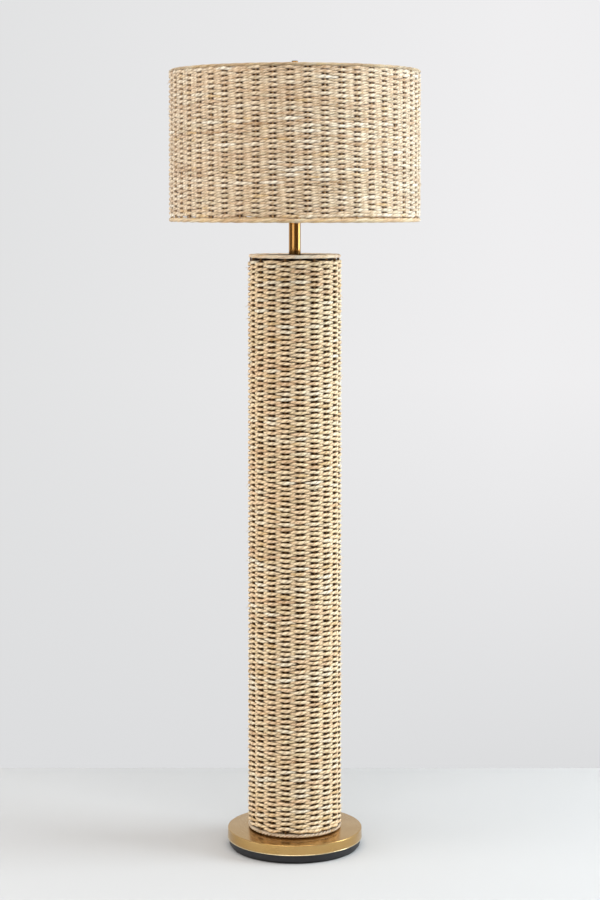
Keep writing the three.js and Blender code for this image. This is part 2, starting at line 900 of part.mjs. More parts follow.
function makeBulbCap() {
  const shoulder = (bulbCapDiameter - bulbInsulatorDiameter) / 2;
  return turned(
    [
      [0, bulbCapFoot],
      [bulbInsulatorDiameter / 2, bulbCapFoot],
      [bulbCapDiameter / 2, bulbCapFoot + shoulder],
      [bulbCapDiameter / 2, bulbCapFoot + bulbCapHeight],
      [0, bulbCapFoot + bulbCapHeight],
    ],
    socketSides,
  );
}

function makeBulbBody() {
  const top = bulbBodyFoot + bulbBodyHeight;
  const footRadius = bulbCapDiameter / 2 + brassSheet;
  const topRadius = bulbBodyTopDiameter / 2;
  const waistShare = 0.25;
  const waistHeightShare = 0.5;
  return turned(
    [
      [0, bulbBodyFoot],
      [footRadius, bulbBodyFoot],
      [footRadius + (topRadius - footRadius) * waistShare, bulbBodyFoot + bulbBodyHeight * waistHeightShare],
      [topRadius, top],
      [0, top],
    ],
    socketSides,
  );
}

// A thin dome, open at its foot where the body closes it.
function makeBulbGlobe() {
  const radius = bulbGlobeDiameter / 2;
  const footRadius = bulbBodyTopDiameter / 2;
  const startAngle = -Math.acos(footRadius / radius);
  const endAngle = Math.PI / 2;
  const stretch = bulbGlobeHeight / (Math.sin(endAngle) - Math.sin(startAngle));
  const middle = bulbGlobeFoot - stretch * Math.sin(startAngle);
  const outer = [];
  const inner = [];
  for (let i = 0; i <= bulbGlobeArcs; i += 1) {
    const angle = startAngle + ((endAngle - startAngle) * i) / bulbGlobeArcs;
    const reach = i === bulbGlobeArcs ? 0 : Math.cos(angle);
    outer.push([radius * reach, middle + stretch * Math.sin(angle)]);
    inner.push([(radius - bulbGlobeWall) * reach, middle + (stretch - bulbGlobeWall) * Math.sin(angle)]);
  }
  inner[0][1] = bulbGlobeFoot;
  return turned([...inner.reverse(), ...outer], socketSides);
}

// Shade

const shadeFootRing = shadeFoot + borderToRing;
const shadeRimRing = shadeTop - borderToRing;

function spiderRods(radius, endRadius) {
  const rods = [];
  for (let i = 0; i < spiderArms; i += 1) {
    const angle = (2 * Math.PI * (i + 1 / 2)) / spiderArms;
    const hubEdge = (spiderHubDiameter - spiderArmDiameter) / 2;
    const hubMiddle = (hubFoot + hubTop) / 2;
    rods.push(rod(pointAt(hubEdge, angle, hubMiddle), pointAt(endRadius, angle, shadeRimRing), radius, spiderArmSides));
  }
  return rods;
}

function makeShadeFrame() {
  const cage = joined([
    ring(shadeStakeRadius, shadeFootRing, shadeStakes),
    ring(shadeStakeRadius, shadeRimRing, shadeStakes),
    ...stakesRound(shadeStakes, shadeStakeRadius, shadeStakes, stakeDiameter / 2, shadeFootRing, shadeRimRing),
  ]);
  return faced(cage, shadeStakeTurn);
}

// The hub that sits on the stud's collar, and its arms, which end at the rim ring's flats.
function makeShadeSpider() {
  const hub = tube(spiderHubDiameter / 2, studDiameter / 2 + seatGap, hubFoot, hubTop, socketSides);
  const armReach = (shadeStakeRadius - ringBar / 2) * Math.cos(Math.PI / shadeStakes) - seatGap;
  return joined([hub, ...spiderRods(spiderArmDiameter / 2, armReach)]);
}

function makeShadeWeave() {
  const foot = shadeFoot + shadeFootBorder + seatGap;
  const top = shadeTop - shadeRimBorder - seatGap;
  const radius = shadeDiameter / 2;
  return faced(wovenTube(radius, shadeStakeRadius, shadeStakes, foot, top, shadeStakes), shadeStakeTurn);
}

function makeShadeRim() {
  const border = wrappedBorder(shadeStakeRadius, shadeTop, shadeRimBorder, true, shadeStakes);
  return cut(faced(border, shadeStakeTurn), spiderRods(spiderArmDiameter / 2 + 2 * seatGap, shadeStakeRadius));
}

function makeShadeFootBorder() {
  return faced(wrappedBorder(shadeStakeRadius, shadeFoot, shadeFootBorder, false, shadeStakes), shadeStakeTurn);
}

// Finial

function makeFinial() {
  const height = (share) => finialFoot + finialHeight * share;
  const boreRadius = studDiameter / 2 + runningGap;
  const boreTop = studCollarFoot + studCollarThickness + studThread + seatGap;
  const topRadius = finialTopDiameter / 2;
  return turned(
    [
      [0, boreTop],
      [boreRadius, boreTop],
      [boreRadius, finialFoot],
      [finialFootDiameter / 2, finialFoot],
      [finialFootDiameter / 2, height(finialFootShare)],
      [finialWaistDiameter / 2, height(finialWaistShare)],
      [topRadius, height(finialShoulderShare)],
      [topRadius, height(1) - finialBevel],
      [topRadius - finialBevel, height(1)],
      [0, height(1)],
    ],
    smallSides,
  );
}

// The whole lamp

function baseGroup() {
  const group = new THREE.Group();
  group.add(mesh("base_pad", makeBasePad(), felt));
  group.add(mesh("base_weight", makeBaseWeight(), blackIron));
  group.add(mesh("base_cover", makeBaseCover(), brass));
  group.add(mesh("base_washer", makeBaseWasher(), steel));
  group.add(mesh("base_nut", hexNut(baseNutFoot(), nutHeight), steel));
  group.add(mesh("center_pipe", makeCenterPipe(), steel));
  const bushing = mesh("cord_bushing", makeCordBushing(), phenolic);
  bushing.position.z = plateFoot + inletRise;
  group.add(bushing);
  return group;
}

function columnGroup() {
  const group = new THREE.Group();
  group.add(mesh("column_bottom_plate", columnPlate(baseTop + seatGap), paintedWire));
  group.add(mesh("column_top_plate", columnPlate(topPlateTop - columnPlateThickness), paintedWire));
  group.add(mesh("column_top_nut", makeColumnTopNut(), steel));
  group.add(mesh("column_cage", makeColumnCage(), paintedWire));
  group.add(mesh("column_weave", makeColumnWeave(), rattan));
  group.add(mesh("column_rim_wrap", makeColumnRim(), rattan));
  group.add(mesh("column_foot_wrap", makeColumnFootBorder(), rattan));
  return group;
}

function neckAndHarpGroup() {
  const group = new THREE.Group();
  group.add(mesh("neck_tube", makeNeckTube(), brass));
  group.add(mesh("neck_cap", makeNeckCap(), brass));
  group.add(mesh("harp_saddle", makeHarpSaddle(), brass));
  group.add(mesh("saddle_lock_nut", hexNut(lockNutFoot, lockNutHeight), steel));
  group.add(mesh("harp_bow", makeHarpBow(), brass));
  const leftFerrule = mesh("harp_ferrule_left", makeHarpFerrule(), brass);
  leftFerrule.position.x = -ferruleX;
  const rightFerrule = mesh("harp_ferrule_right", makeHarpFerrule(), brass);
  rightFerrule.position.x = ferruleX;
  group.add(leftFerrule, rightFerrule);
  return group;
}

function lampholderGroup() {
  const group = new THREE.Group();
  group.add(mesh("socket_cap", makeSocketCap(), brass));
  group.add(mesh("socket_cap_screw", makeCapScrew(), steel));
  group.add(mesh("socket_shell", makeSocketShell(), brass));
  group.add(mesh("socket_liner", makeSocketLiner(), paper));
  group.add(mesh("socket_body", makeSocketBody(), phenolic));
  group.add(mesh("terminal_screw_left", makeTerminalScrew(-1), brass));
  group.add(mesh("terminal_screw_right", makeTerminalScrew(1), steel));
  group.add(mesh("screw_shell", makeScrewShell(), brass));
  group.add(mesh("center_contact", makeCenterContact(), brass));
  group.add(mesh("switch_shaft", makeSwitchShaft(), steel));
  group.add(mesh("switch_key", makeSwitchKey(), brass));
  return group;
}

function bulbGroup() {
  const group = new THREE.Group();
  group.add(mesh("bulb_tip", makeBulbTip(), steel));
  group.add(mesh("bulb_insulator", makeBulbInsulator(), phenolic));
  group.add(mesh("bulb_cap", makeBulbCap(), steel));
  group.add(mesh("bulb_body", makeBulbBody(), whitePlastic));
  group.add(mesh("bulb_globe", makeBulbGlobe(), frosted));
  return group;
}

function shadeGroup() {
  const group = new THREE.Group();
  group.add(mesh("harp_stud", makeHarpStud(), brass));
  group.add(mesh("shade_spider", makeShadeSpider(), paintedWire));
  group.add(mesh("shade_frame", makeShadeFrame(), paintedWire));
  group.add(mesh("shade_weave", makeShadeWeave(), rattan));
  group.add(mesh("shade_rim_wrap", makeShadeRim(), rattan));
  group.add(mesh("shade_foot_wrap", makeShadeFootBorder(), rattan));
  group.add(mesh("finial", makeFinial(), brass));
  return group;
}

const lamp = new THREE.Group();
lamp.add(baseGroup(), columnGroup(), neckAndHarpGroup(), lampholderGroup(), bulbGroup(), shadeGroup());

export default lamp;
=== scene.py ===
import bpy
import bmesh
import math
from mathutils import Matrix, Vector


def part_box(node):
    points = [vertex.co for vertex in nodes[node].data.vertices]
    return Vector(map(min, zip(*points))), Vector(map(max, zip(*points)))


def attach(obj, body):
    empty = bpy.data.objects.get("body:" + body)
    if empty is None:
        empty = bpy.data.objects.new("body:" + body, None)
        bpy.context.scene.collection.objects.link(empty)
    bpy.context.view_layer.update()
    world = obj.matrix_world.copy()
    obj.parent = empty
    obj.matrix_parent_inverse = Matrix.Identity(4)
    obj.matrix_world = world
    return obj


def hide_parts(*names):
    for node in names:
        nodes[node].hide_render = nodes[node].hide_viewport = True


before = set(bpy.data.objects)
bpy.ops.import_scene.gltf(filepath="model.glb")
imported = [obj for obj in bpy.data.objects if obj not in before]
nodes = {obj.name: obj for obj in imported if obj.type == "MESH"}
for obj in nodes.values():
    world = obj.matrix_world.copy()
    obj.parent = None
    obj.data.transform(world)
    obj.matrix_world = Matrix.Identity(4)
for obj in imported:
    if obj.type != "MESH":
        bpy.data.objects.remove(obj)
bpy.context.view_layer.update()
scene = bpy.context.scene
turn = 2 * math.pi
print("frame loaded:", len(nodes), "nodes")


def addObject(name, data):
    made = bpy.data.objects.new(name, data)
    scene.collection.objects.link(made)
    return made


# Camera and picture

cameraSetup = {
    "distance": 4.225,      # from the lamp's axis, metres
    "height": 1.3009,
    "tiltDown": 2.0,        # degrees
    "lens": 84.14,          # millimetres, on a 36 mm long side
    "shift": (0.0058, -0.1934),
}


def makeCamera(setup):
    data = bpy.data.cameras.new("camera")
    data.lens = setup["lens"]
    data.sensor_width = 36
    data.shift_x, data.shift_y = setup["shift"]
    data.clip_start, data.clip_end = 0.05, 60
    camera = addObject("camera", data)
    camera.location = (0, -setup["distance"], setup["height"])
    camera.rotation_euler = (math.radians(90 - setup["tiltDown"]), 0, 0)
    scene.camera = camera


makeCamera(cameraSetup)
scene.view_settings.view_transform = "Standard"
print("camera set")


# Small helpers for node trees: a value is a number, a colour or the output of a node in the tree

def link(value, socket):
    if isinstance(value, bpy.types.NodeSocket):
        socket.id_data.links.new(value, socket)
    else:
        socket.default_value = value


def node(tree, kind, inputs=None, **settings):
    made = tree.nodes.new(kind)
    for key, value in settings.items():
        setattr(made, key, value)
    for key, value in (inputs or {}).items():
        link(value, made.inputs[key])
    return made


def nodeAfter(kind, inputs, **settings):
    # the new node joins the tree that its first linked value comes from
    tree = next(value.id_data for value in inputs.values() if isinstance(value, bpy.types.NodeSocket))
    return node(tree, kind, inputs, **settings).outputs


def calc(operation, *values):
    return nodeAfter("ShaderNodeMath", dict(enumerate(values)), operation=operation)[0]


def add(first, *others):
    for other in others:
        first = calc("ADD", first, other)
    return first


def multiply(first, *others):
    for other in others:
        first = calc("MULTIPLY", first, other)
    return first


def subtract(first, second):
    return calc("SUBTRACT", first, second)


def vectorCalc(operation, first, second):
    secondSocket = "Scale" if operation == "SCALE" else 1
    return nodeAfter("ShaderNodeVectorMath", {0: first, secondSocket: second}, operation=operation)[0]


def combine(x, y, z):
    return nodeAfter("ShaderNodeCombineXYZ", {0: x, 1: y, 2: z})[0]


def separate(vector):
    return nodeAfter("ShaderNodeSeparateXYZ", {0: vector})


def noise(vector, scale, detail=2.0, roughness=0.5, w=None):
    inputs = {"Vector": vector, "Scale": scale, "Detail": detail, "Roughness": roughness}
    if w is None:
        return nodeAfter("ShaderNodeTexNoise", inputs)[0]
    return nodeAfter("ShaderNodeTexNoise", {**inputs, "W": w}, noise_dimensions="4D")[0]


def noiseAlong(w, detail):
    return nodeAfter("ShaderNodeTexNoise", {"W": w, "Scale": 1.0, "Detail": detail}, noise_dimensions="1D")[0]


def spread(value, low, high, newLow=0.0, newHigh=1.0):
    return nodeAfter("ShaderNodeMapRange", dict(enumerate((value, low, high, newLow, newHigh))))[0]


numberSockets = {float: "NodeSocketFloat", int: "NodeSocketInt"}


def newGroup(name, kind, inputs, outputs):
    # an input is given by its starting number, or by its socket type where it has none
    tree = bpy.data.node_groups.new(name, kind)
    for label, start in inputs.items():
        if isinstance(start, str):
            tree.interface.new_socket(label, in_out="INPUT", socket_type=start)
        else:
            socket = tree.interface.new_socket(label, in_out="INPUT", socket_type=numberSockets[type(start)])
            socket.default_value = start
    outputType = "NodeSocketGeometry" if kind == "GeometryNodeTree" else "NodeSocketFloat"
    for label in outputs:
        tree.interface.new_socket(label, in_out="OUTPUT", socket_type=outputType)
    return tree, tree.nodes.new("NodeGroupInput").outputs, tree.nodes.new("NodeGroupOutput").inputs


def fillOutputs(tree, made, values):
    for label, value in values.items():
        link(value, made[label])
    return tree


# Shader groups

def attribute(tree, label, output="Fac"):
    return node(tree, "ShaderNodeAttribute", attribute_name=label).outputs[output]


def makeTwistGroup():
    # plies that run slantwise along a strand, from its "along", "across" and "bend" attributes
    tree, given, made = newGroup(
        "strandTwist", "ShaderNodeTree", {"Plies": 2.0, "Ply Pitch": 0.014, "Fibres": 3.0},
        ["Groove Shade", "Fibre", "Height", "Patch", "Edge Shade", "Stake Shade"],
    )
    across = separate(attribute(tree, "across", "Vector"))
    along = attribute(tree, "along")
    angle = calc("ARCTAN2", across[1], across[0])
    slant = add(angle, multiply(calc("DIVIDE", along, given["Ply Pitch"]), turn))
    crown = calc("ABSOLUTE", calc("SINE", multiply(slant, given["Plies"], 0.5)))
    ridge = calc("POWER", crown, 0.6)
    sideways, upwards = (multiply(calc(wave, slant), given["Fibres"]) for wave in ("COSINE", "SINE"))
    spot = combine(sideways, upwards, multiply(along, 60.0))
    fibre = noise(spot, 1.9, 5.0, 0.68)
    # painted shade: the side of the strand that lies against a stake, which the light hardly reaches, is
    # masked here and darkened in makeStraw
    against = multiply(attribute(tree, "bend"), across[0], -1.0)
    return fillOutputs(tree, made, {
        # painted shade in the grooves between the plies
        "Groove Shade": subtract(1.0, ridge),
        "Fibre": fibre,
        "Height": add(ridge, fibre),
        "Patch": noiseAlong(multiply(along, 9.0), 2.0),
        # painted shade along the strand's upper and lower edges, where it meets the next row
        "Edge Shade": spread(calc("ABSOLUTE", across[1]), 0.65, 1.0),
        "Stake Shade": spread(against, 0.18, 0.62),
    })


def makeTurnedGrainGroup():
    # fine rings, as a lathe or a spinning buffer leaves them
    tree, given, made = newGroup(
        "turnedGrain", "ShaderNodeTree",
        {"Position": "NodeSocketVector", "Density": 900.0}, ["Grain", "Cloud"])
    x, y, z = separate(given["Position"])
    radius = nodeAfter("ShaderNodeVectorMath", {0: combine(x, y, 0.0)}, operation="LENGTH")["Value"]
    across, up = multiply(radius, given["Density"]), multiply(z, given["Density"])
    spot = combine(across, up, multiply(add(x, y), 9.0))
    return fillOutputs(tree, made, {
        "Grain": noise(spot, 1.0, 3.0, 0.6),
        "Cloud": noise(given["Position"], 16.0, 3.0, 0.55),
    })


def makeSpeckGroup():
    # a fine even roughness with slow clouds, for coats, castings and plastics
    tree, given, made = newGroup(
        "fineSpeck", "ShaderNodeTree",
        {"Position": "NodeSocketVector", "Fineness": 900.0}, ["Grain", "Cloud"])
    return fillOutputs(tree, made, {
        "Grain": noise(vectorCalc("SCALE", given["Position"], given["Fineness"]), 1.0, 3.0, 0.6),
        "Cloud": noise(given["Position"], 30.0, 3.0, 0.5),
    })


twistGroup = makeTwistGroup()
turnedGrainGroup = makeTurnedGrainGroup()
speckGroup = makeSpeckGroup()


# Materials

def newMaterial(name, **constants):
    material = bpy.data.materials.new(name)
    material.use_nodes = True
    tree = material.node_tree
    shader = tree.nodes["Principled BSDF"]
    for key, value in constants.items():
        shader.inputs[key.replace("_", " ")].default_value = value
    return material, tree, shader


def useGroup(tree, group, **values):
    inputs = {key.replace("_", " "): value for key, value in values.items()}
    return node(tree, "ShaderNodeGroup", inputs, node_tree=group).outputs


def objectPlace(tree):
    return tree.nodes.new("ShaderNodeTexCoord").outputs["Object"]


def blendColours(amount, first, second):
    # sockets 6, 7 and 2 are the colour ones
    return nodeAfter("ShaderNodeMix", {"Factor": amount, 6: first, 7: second}, data_type="RGBA")[2]


def colourRamp(value, stops):
    made = nodeAfter("ShaderNodeValToRGB", {0: value})[0]
    marks = made.node.color_ramp.elements
    while len(marks) < len(stops):
        marks.new(0.5)
    for mark, (position, colour) in zip(marks, stops):
        mark.position = position
        mark.color = (*colour, 1)
    return made


def addBump(shader, height, strength, distance):
    bump = nodeAfter("ShaderNodeBump", {"Strength": strength, "Distance": distance, "Height": height})
    link(bump[0], shader.inputs["Normal"])


strawLook = {
    "tan": (0.56, 0.34, 0.165), "pinkTan": (0.76, 0.505, 0.285), "straw": (0.85, 0.615, 0.35),
    "sage": (0.65, 0.525, 0.30), "gold": (0.70, 0.46, 0.17), "cream": (0.96, 0.84, 0.61),
    # painted shade: in the plies' grooves (this colour also tints the dark fibres), along the rows' edges and
    # on the side against a stake
    "shadeAndDarkFibre": (0.20, 0.08, 0.020), "edge": (0.11, 0.045, 0.012), "stakeShade": (0.030, 0.011, 0.004),
}
columnLook = {
    **strawLook, "tan": (0.71, 0.455, 0.25), "pinkTan": (0.94, 0.665, 0.41), "straw": (0.99, 0.765, 0.475),
    "sage": (0.80, 0.655, 0.385), "cream": (1.0, 0.93, 0.74),
    "edge": (0.085, 0.032, 0.007), "stakeShade": (0.020, 0.005, 0.001),
}
# the bindings' colours: pinker and paler than the column's straw, partly their own colour and partly painted
# light for the rim, which the shade above keeps from the light; the foot rope takes them dimmed
columnBorderLook = {
    **strawLook, "tan": (0.76, 0.53, 0.36), "pinkTan": (0.94, 0.71, 0.52), "straw": (0.98, 0.80, 0.58),
    "sage": (0.80, 0.68, 0.46), "cream": (1.0, 0.94, 0.80),
}
shadeLook = {
    **strawLook, "tan": (0.49, 0.31, 0.16), "pinkTan": (0.70, 0.50, 0.315), "straw": (0.80, 0.63, 0.42),
    "sage": (0.61, 0.515, 0.335), "cream": (0.97, 0.90, 0.74),
    "edge": (0.13, 0.05, 0.010), "stakeShade": (0.045, 0.012, 0.002),
}
amberGloss, warmSheen, coolSheen = (1.0, 0.66, 0.32), (1.0, 0.86, 0.68), (0.88, 0.95, 1.0)


def dimmed(look, share):
    return {key: tuple(channel * share for channel in colour) for key, colour in look.items()}


def makeStraw(name, look, plies=1.0, pitch=0.05, grooveShade=0.35, edges=0.0, stakeShade=0.0,
              sheen=0.25, tint=coolSheen, gloss=0.45):
    material, tree, shader = newMaterial(
        name, Roughness=0.6, Specular_IOR_Level=gloss, Specular_Tint=(*amberGloss, 1),
        Sheen_Weight=sheen, Sheen_Roughness=0.45, Sheen_Tint=(*tint, 1))
    twist = useGroup(tree, twistGroup, Plies=plies, Ply_Pitch=pitch, Fibres=3.4)
    colour = colourRamp(attribute(tree, "tone"), [
        (0.08, look["tan"]), (0.30, look["pinkTan"]), (0.55, look["straw"]), (0.92, look["cream"]),
    ])
    # the patch and fibre layers are the straw's own tone; the groove, edge and stake layers are painted shade
    layers = [
        ("sage", spread(twist["Patch"], 0.56, 0.68, 0.0, 0.55)),
        ("gold", spread(twist["Patch"], 0.36, 0.27, 0.0, 0.6)),
        ("cream", spread(twist["Fibre"], 0.50, 0.64, 0.0, 0.75)),
        ("shadeAndDarkFibre", spread(twist["Fibre"], 0.47, 0.33, 0.0, 0.9)),
        ("shadeAndDarkFibre", multiply(twist["Groove Shade"], grooveShade)),
        ("edge", multiply(twist["Edge Shade"], edges)),
        ("stakeShade", multiply(twist["Stake Shade"], stakeShade)),
    ]
    for key, amount in layers:
        colour = blendColours(amount, colour, (*look[key], 1))
    link(colour, shader.inputs["Base Color"])
    link(spread(twist["Fibre"], 0.3, 0.7, 0.52, 0.74), shader.inputs["Roughness"])
    addBump(shader, twist["Height"], 0.8, 0.0014)
    return material


def makeStakeWood(name, look):
    material, tree, shader = newMaterial(name, Roughness=0.8, Specular_IOR_Level=0.1)
    spot = objectPlace(tree)
    grain = noise(vectorCalc("MULTIPLY", spot, (420.0, 420.0, 18.0)), 1.0, 3.0, 0.6)
    stain = spread(noise(spot, 40.0, 2.0), 0.35, 0.65, 0.45, 0.1)
    colour = colourRamp(grain, [(0.3, look["dark"]), (0.5, look["middle"]), (0.7, look["pale"])])
    link(blendColours(stain, colour, (*look["stain"], 1)), shader.inputs["Base Color"])
    addBump(shader, grain, 0.3, 0.0003)
    return material


def paintByGrain(shader, grain, grainPart, stops, roughness):
    tint = add(multiply(grain["Grain"], grainPart), multiply(grain["Cloud"], 1 - grainPart))
    link(colourRamp(tint, stops), shader.inputs["Base Color"])
    link(spread(tint, 0.3, 0.7, *roughness), shader.inputs["Roughness"])


def makeTurnedMetal(name, colour, shadeColour, rough, grainShare=0.08, density=900.0, bump=0.10):
    material, tree, shader = newMaterial(name, Metallic=1.0)
    grain = useGroup(tree, turnedGrainGroup, Position=objectPlace(tree), Density=density)
    paintByGrain(shader, grain, 0.45, [(0.35, shadeColour), (0.62, colour)],
                 (rough + grainShare, rough - grainShare / 2))
    addBump(shader, grain["Grain"], bump, 0.0001)
    return material


def makeSpeckled(name, colour, otherColour, rough, fineness=900.0, bump=0.2, depth=0.0002, **constants):
    material, tree, shader = newMaterial(name, **constants)
    speck = useGroup(tree, speckGroup, Position=objectPlace(tree), Fineness=fineness)
    paintByGrain(shader, speck, 0.5, [(0.32, otherColour), (0.66, colour)], (rough + 0.06, rough - 0.05))
    addBump(shader, speck["Grain"], bump, depth)
    return material


columnStraw = makeStraw(
    "columnStraw", columnLook, plies=2.0, pitch=0.026, grooveShade=0.55, edges=0.95, stakeShade=1.0,
    sheen=0.05, tint=warmSheen)
shadeStraw = makeStraw(
    "shadeStraw", shadeLook, plies=2.0, pitch=0.030, grooveShade=0.65, edges=0.85, stakeShade=1.0, sheen=0.36)
columnBorder = makeStraw("columnBorder", columnBorderLook, grooveShade=0.25, edges=0.3, sheen=0.5, tint=warmSheen)
footStraw = makeStraw(
    "columnFoot", dimmed(columnBorderLook, 0.72), grooveShade=0.45, edges=0.6, sheen=0.2, tint=warmSheen)
borderStraw = makeStraw("borderStraw", dimmed(strawLook, 0.84), gloss=0.7)
rimStraw = makeStraw("rimStraw", dimmed(strawLook, 0.60), grooveShade=0.5)
fibreStraw = makeSpeckled("fibreStraw", (0.84, 0.70, 0.50), (0.55, 0.38, 0.22), 0.7, 300.0)
# the column's stakes are coloured far darker than pale rattan: painted shade for the gaps between the
# strands, where they show
shadowDarkStake = makeStakeWood("shadowDarkStake", {
    "dark": (0.10, 0.05, 0.018), "middle": (0.17, 0.09, 0.036), "pale": (0.25, 0.145, 0.065),
    "stain": (0.14, 0.07, 0.025)})
peeledStake = makeStakeWood("peeledStake", {
    "dark": (0.28, 0.16, 0.07), "middle": (0.42, 0.26, 0.13), "pale": (0.58, 0.39, 0.22),
    "stain": (0.40, 0.24, 0.11)})
spunBrass = makeTurnedMetal("spunBrass", (0.60, 0.39, 0.155), (0.52, 0.32, 0.11), 0.23)
polishedBrass = makeTurnedMetal(
    "polishedBrass", (0.56, 0.31, 0.10), (0.49, 0.255, 0.075), 0.17, 0.04, 700.0, 0.04)
highlightLipBrass = makeTurnedMetal("highlightLipBrass", (0.90, 0.77, 0.51), (0.83, 0.69, 0.42), 0.20, 0.04, 700.0, 0.04)
stampedBrass = makeSpeckled(
    "stampedBrass", (0.66, 0.44, 0.18), (0.55, 0.35, 0.13), 0.28, 500.0, 0.06, Metallic=1.0)
zincSteel = makeSpeckled("zincSteel", (0.60, 0.60, 0.60), (0.45, 0.45, 0.44), 0.36, 400.0, 0.08, Metallic=1.0)
blackCoat = makeSpeckled("blackCoat", (0.009, 0.009, 0.012), (0.005, 0.005, 0.007), 0.5, 1600.0, 0.25)
blackFelt = makeSpeckled("blackFelt", (0.03, 0.029, 0.028), (0.014, 0.014, 0.014), 0.92, 2600.0, 0.8, 0.0004)
wirePaint = makeSpeckled("wirePaint", (0.56, 0.39, 0.23), (0.46, 0.31, 0.17), 0.5, 700.0)
# dark brown, for the finial's tip and as painted shade on the column's lid
darkTipAndLidShade = makeSpeckled(
    "darkTipAndLidShade", (0.020, 0.011, 0.006), (0.012, 0.007, 0.004), 0.75, 700.0, Specular_IOR_Level=0.15)
mouldedPhenolic = makeSpeckled(
    "mouldedPhenolic", (0.030, 0.024, 0.020), (0.018, 0.014, 0.012), 0.38, 800.0, 0.12)
linerPaper = makeSpeckled("linerPaper", (0.52, 0.39, 0.22), (0.40, 0.29, 0.15), 0.85, 1200.0, 0.3)
whiteMoulding = makeSpeckled("whiteMoulding", (0.84, 0.83, 0.80), (0.78, 0.77, 0.74), 0.38, 900.0, 0.08)
frostedDome = makeSpeckled("frostedDome", (0.88, 0.86, 0.81), (0.83, 0.81, 0.75), 0.48, 1500.0, 0.1)
print("materials made")


# Geometry Nodes: what all three trees share

def source(tree, kind, inputs=None, **settings):
    return node(tree, "GeometryNode" + kind, inputs, **settings).outputs[0]


def geometry(kind, inputs, **settings):
    return nodeAfter("GeometryNode" + kind, inputs, **settings)[0]


def roundSpot(angle, radius, height):
    # the place at this angle round the axis, counted from the front towards +X
    x, y = multiply(calc("SINE", angle), radius), multiply(calc("COSINE", angle), radius, -1.0)
    return combine(x, y, height)


def store(shape, label, value, kind="FLOAT"):
    return geometry("StoreNamedAttribute", {"Geometry": shape, "Name": label, "Value": value},
                    data_type=kind, domain="POINT")


def readBack(tree, label):
    return source(tree, "InputNamedAttribute", {"Name": label}, data_type="FLOAT")


def circleSection(sides, radius):
    return geometry("CurvePrimitiveCircle", {"Resolution": sides, "Radius": radius}, mode="RADIUS")


def sweep(curve, section):
    return geometry("CurveToMesh", {"Curve": curve, "Profile Curve": section, "Fill Caps": True})


def deliver(tree, made, shape, material):
    real = geometry("RealizeInstances", {"Geometry": shape})
    finished = geometry("SetMaterial", {"Geometry": real, "Material": material})
    return fillOutputs(tree, made, {"Geometry": finished})


# Geometry Nodes: one strand that runs round the axis by a rule

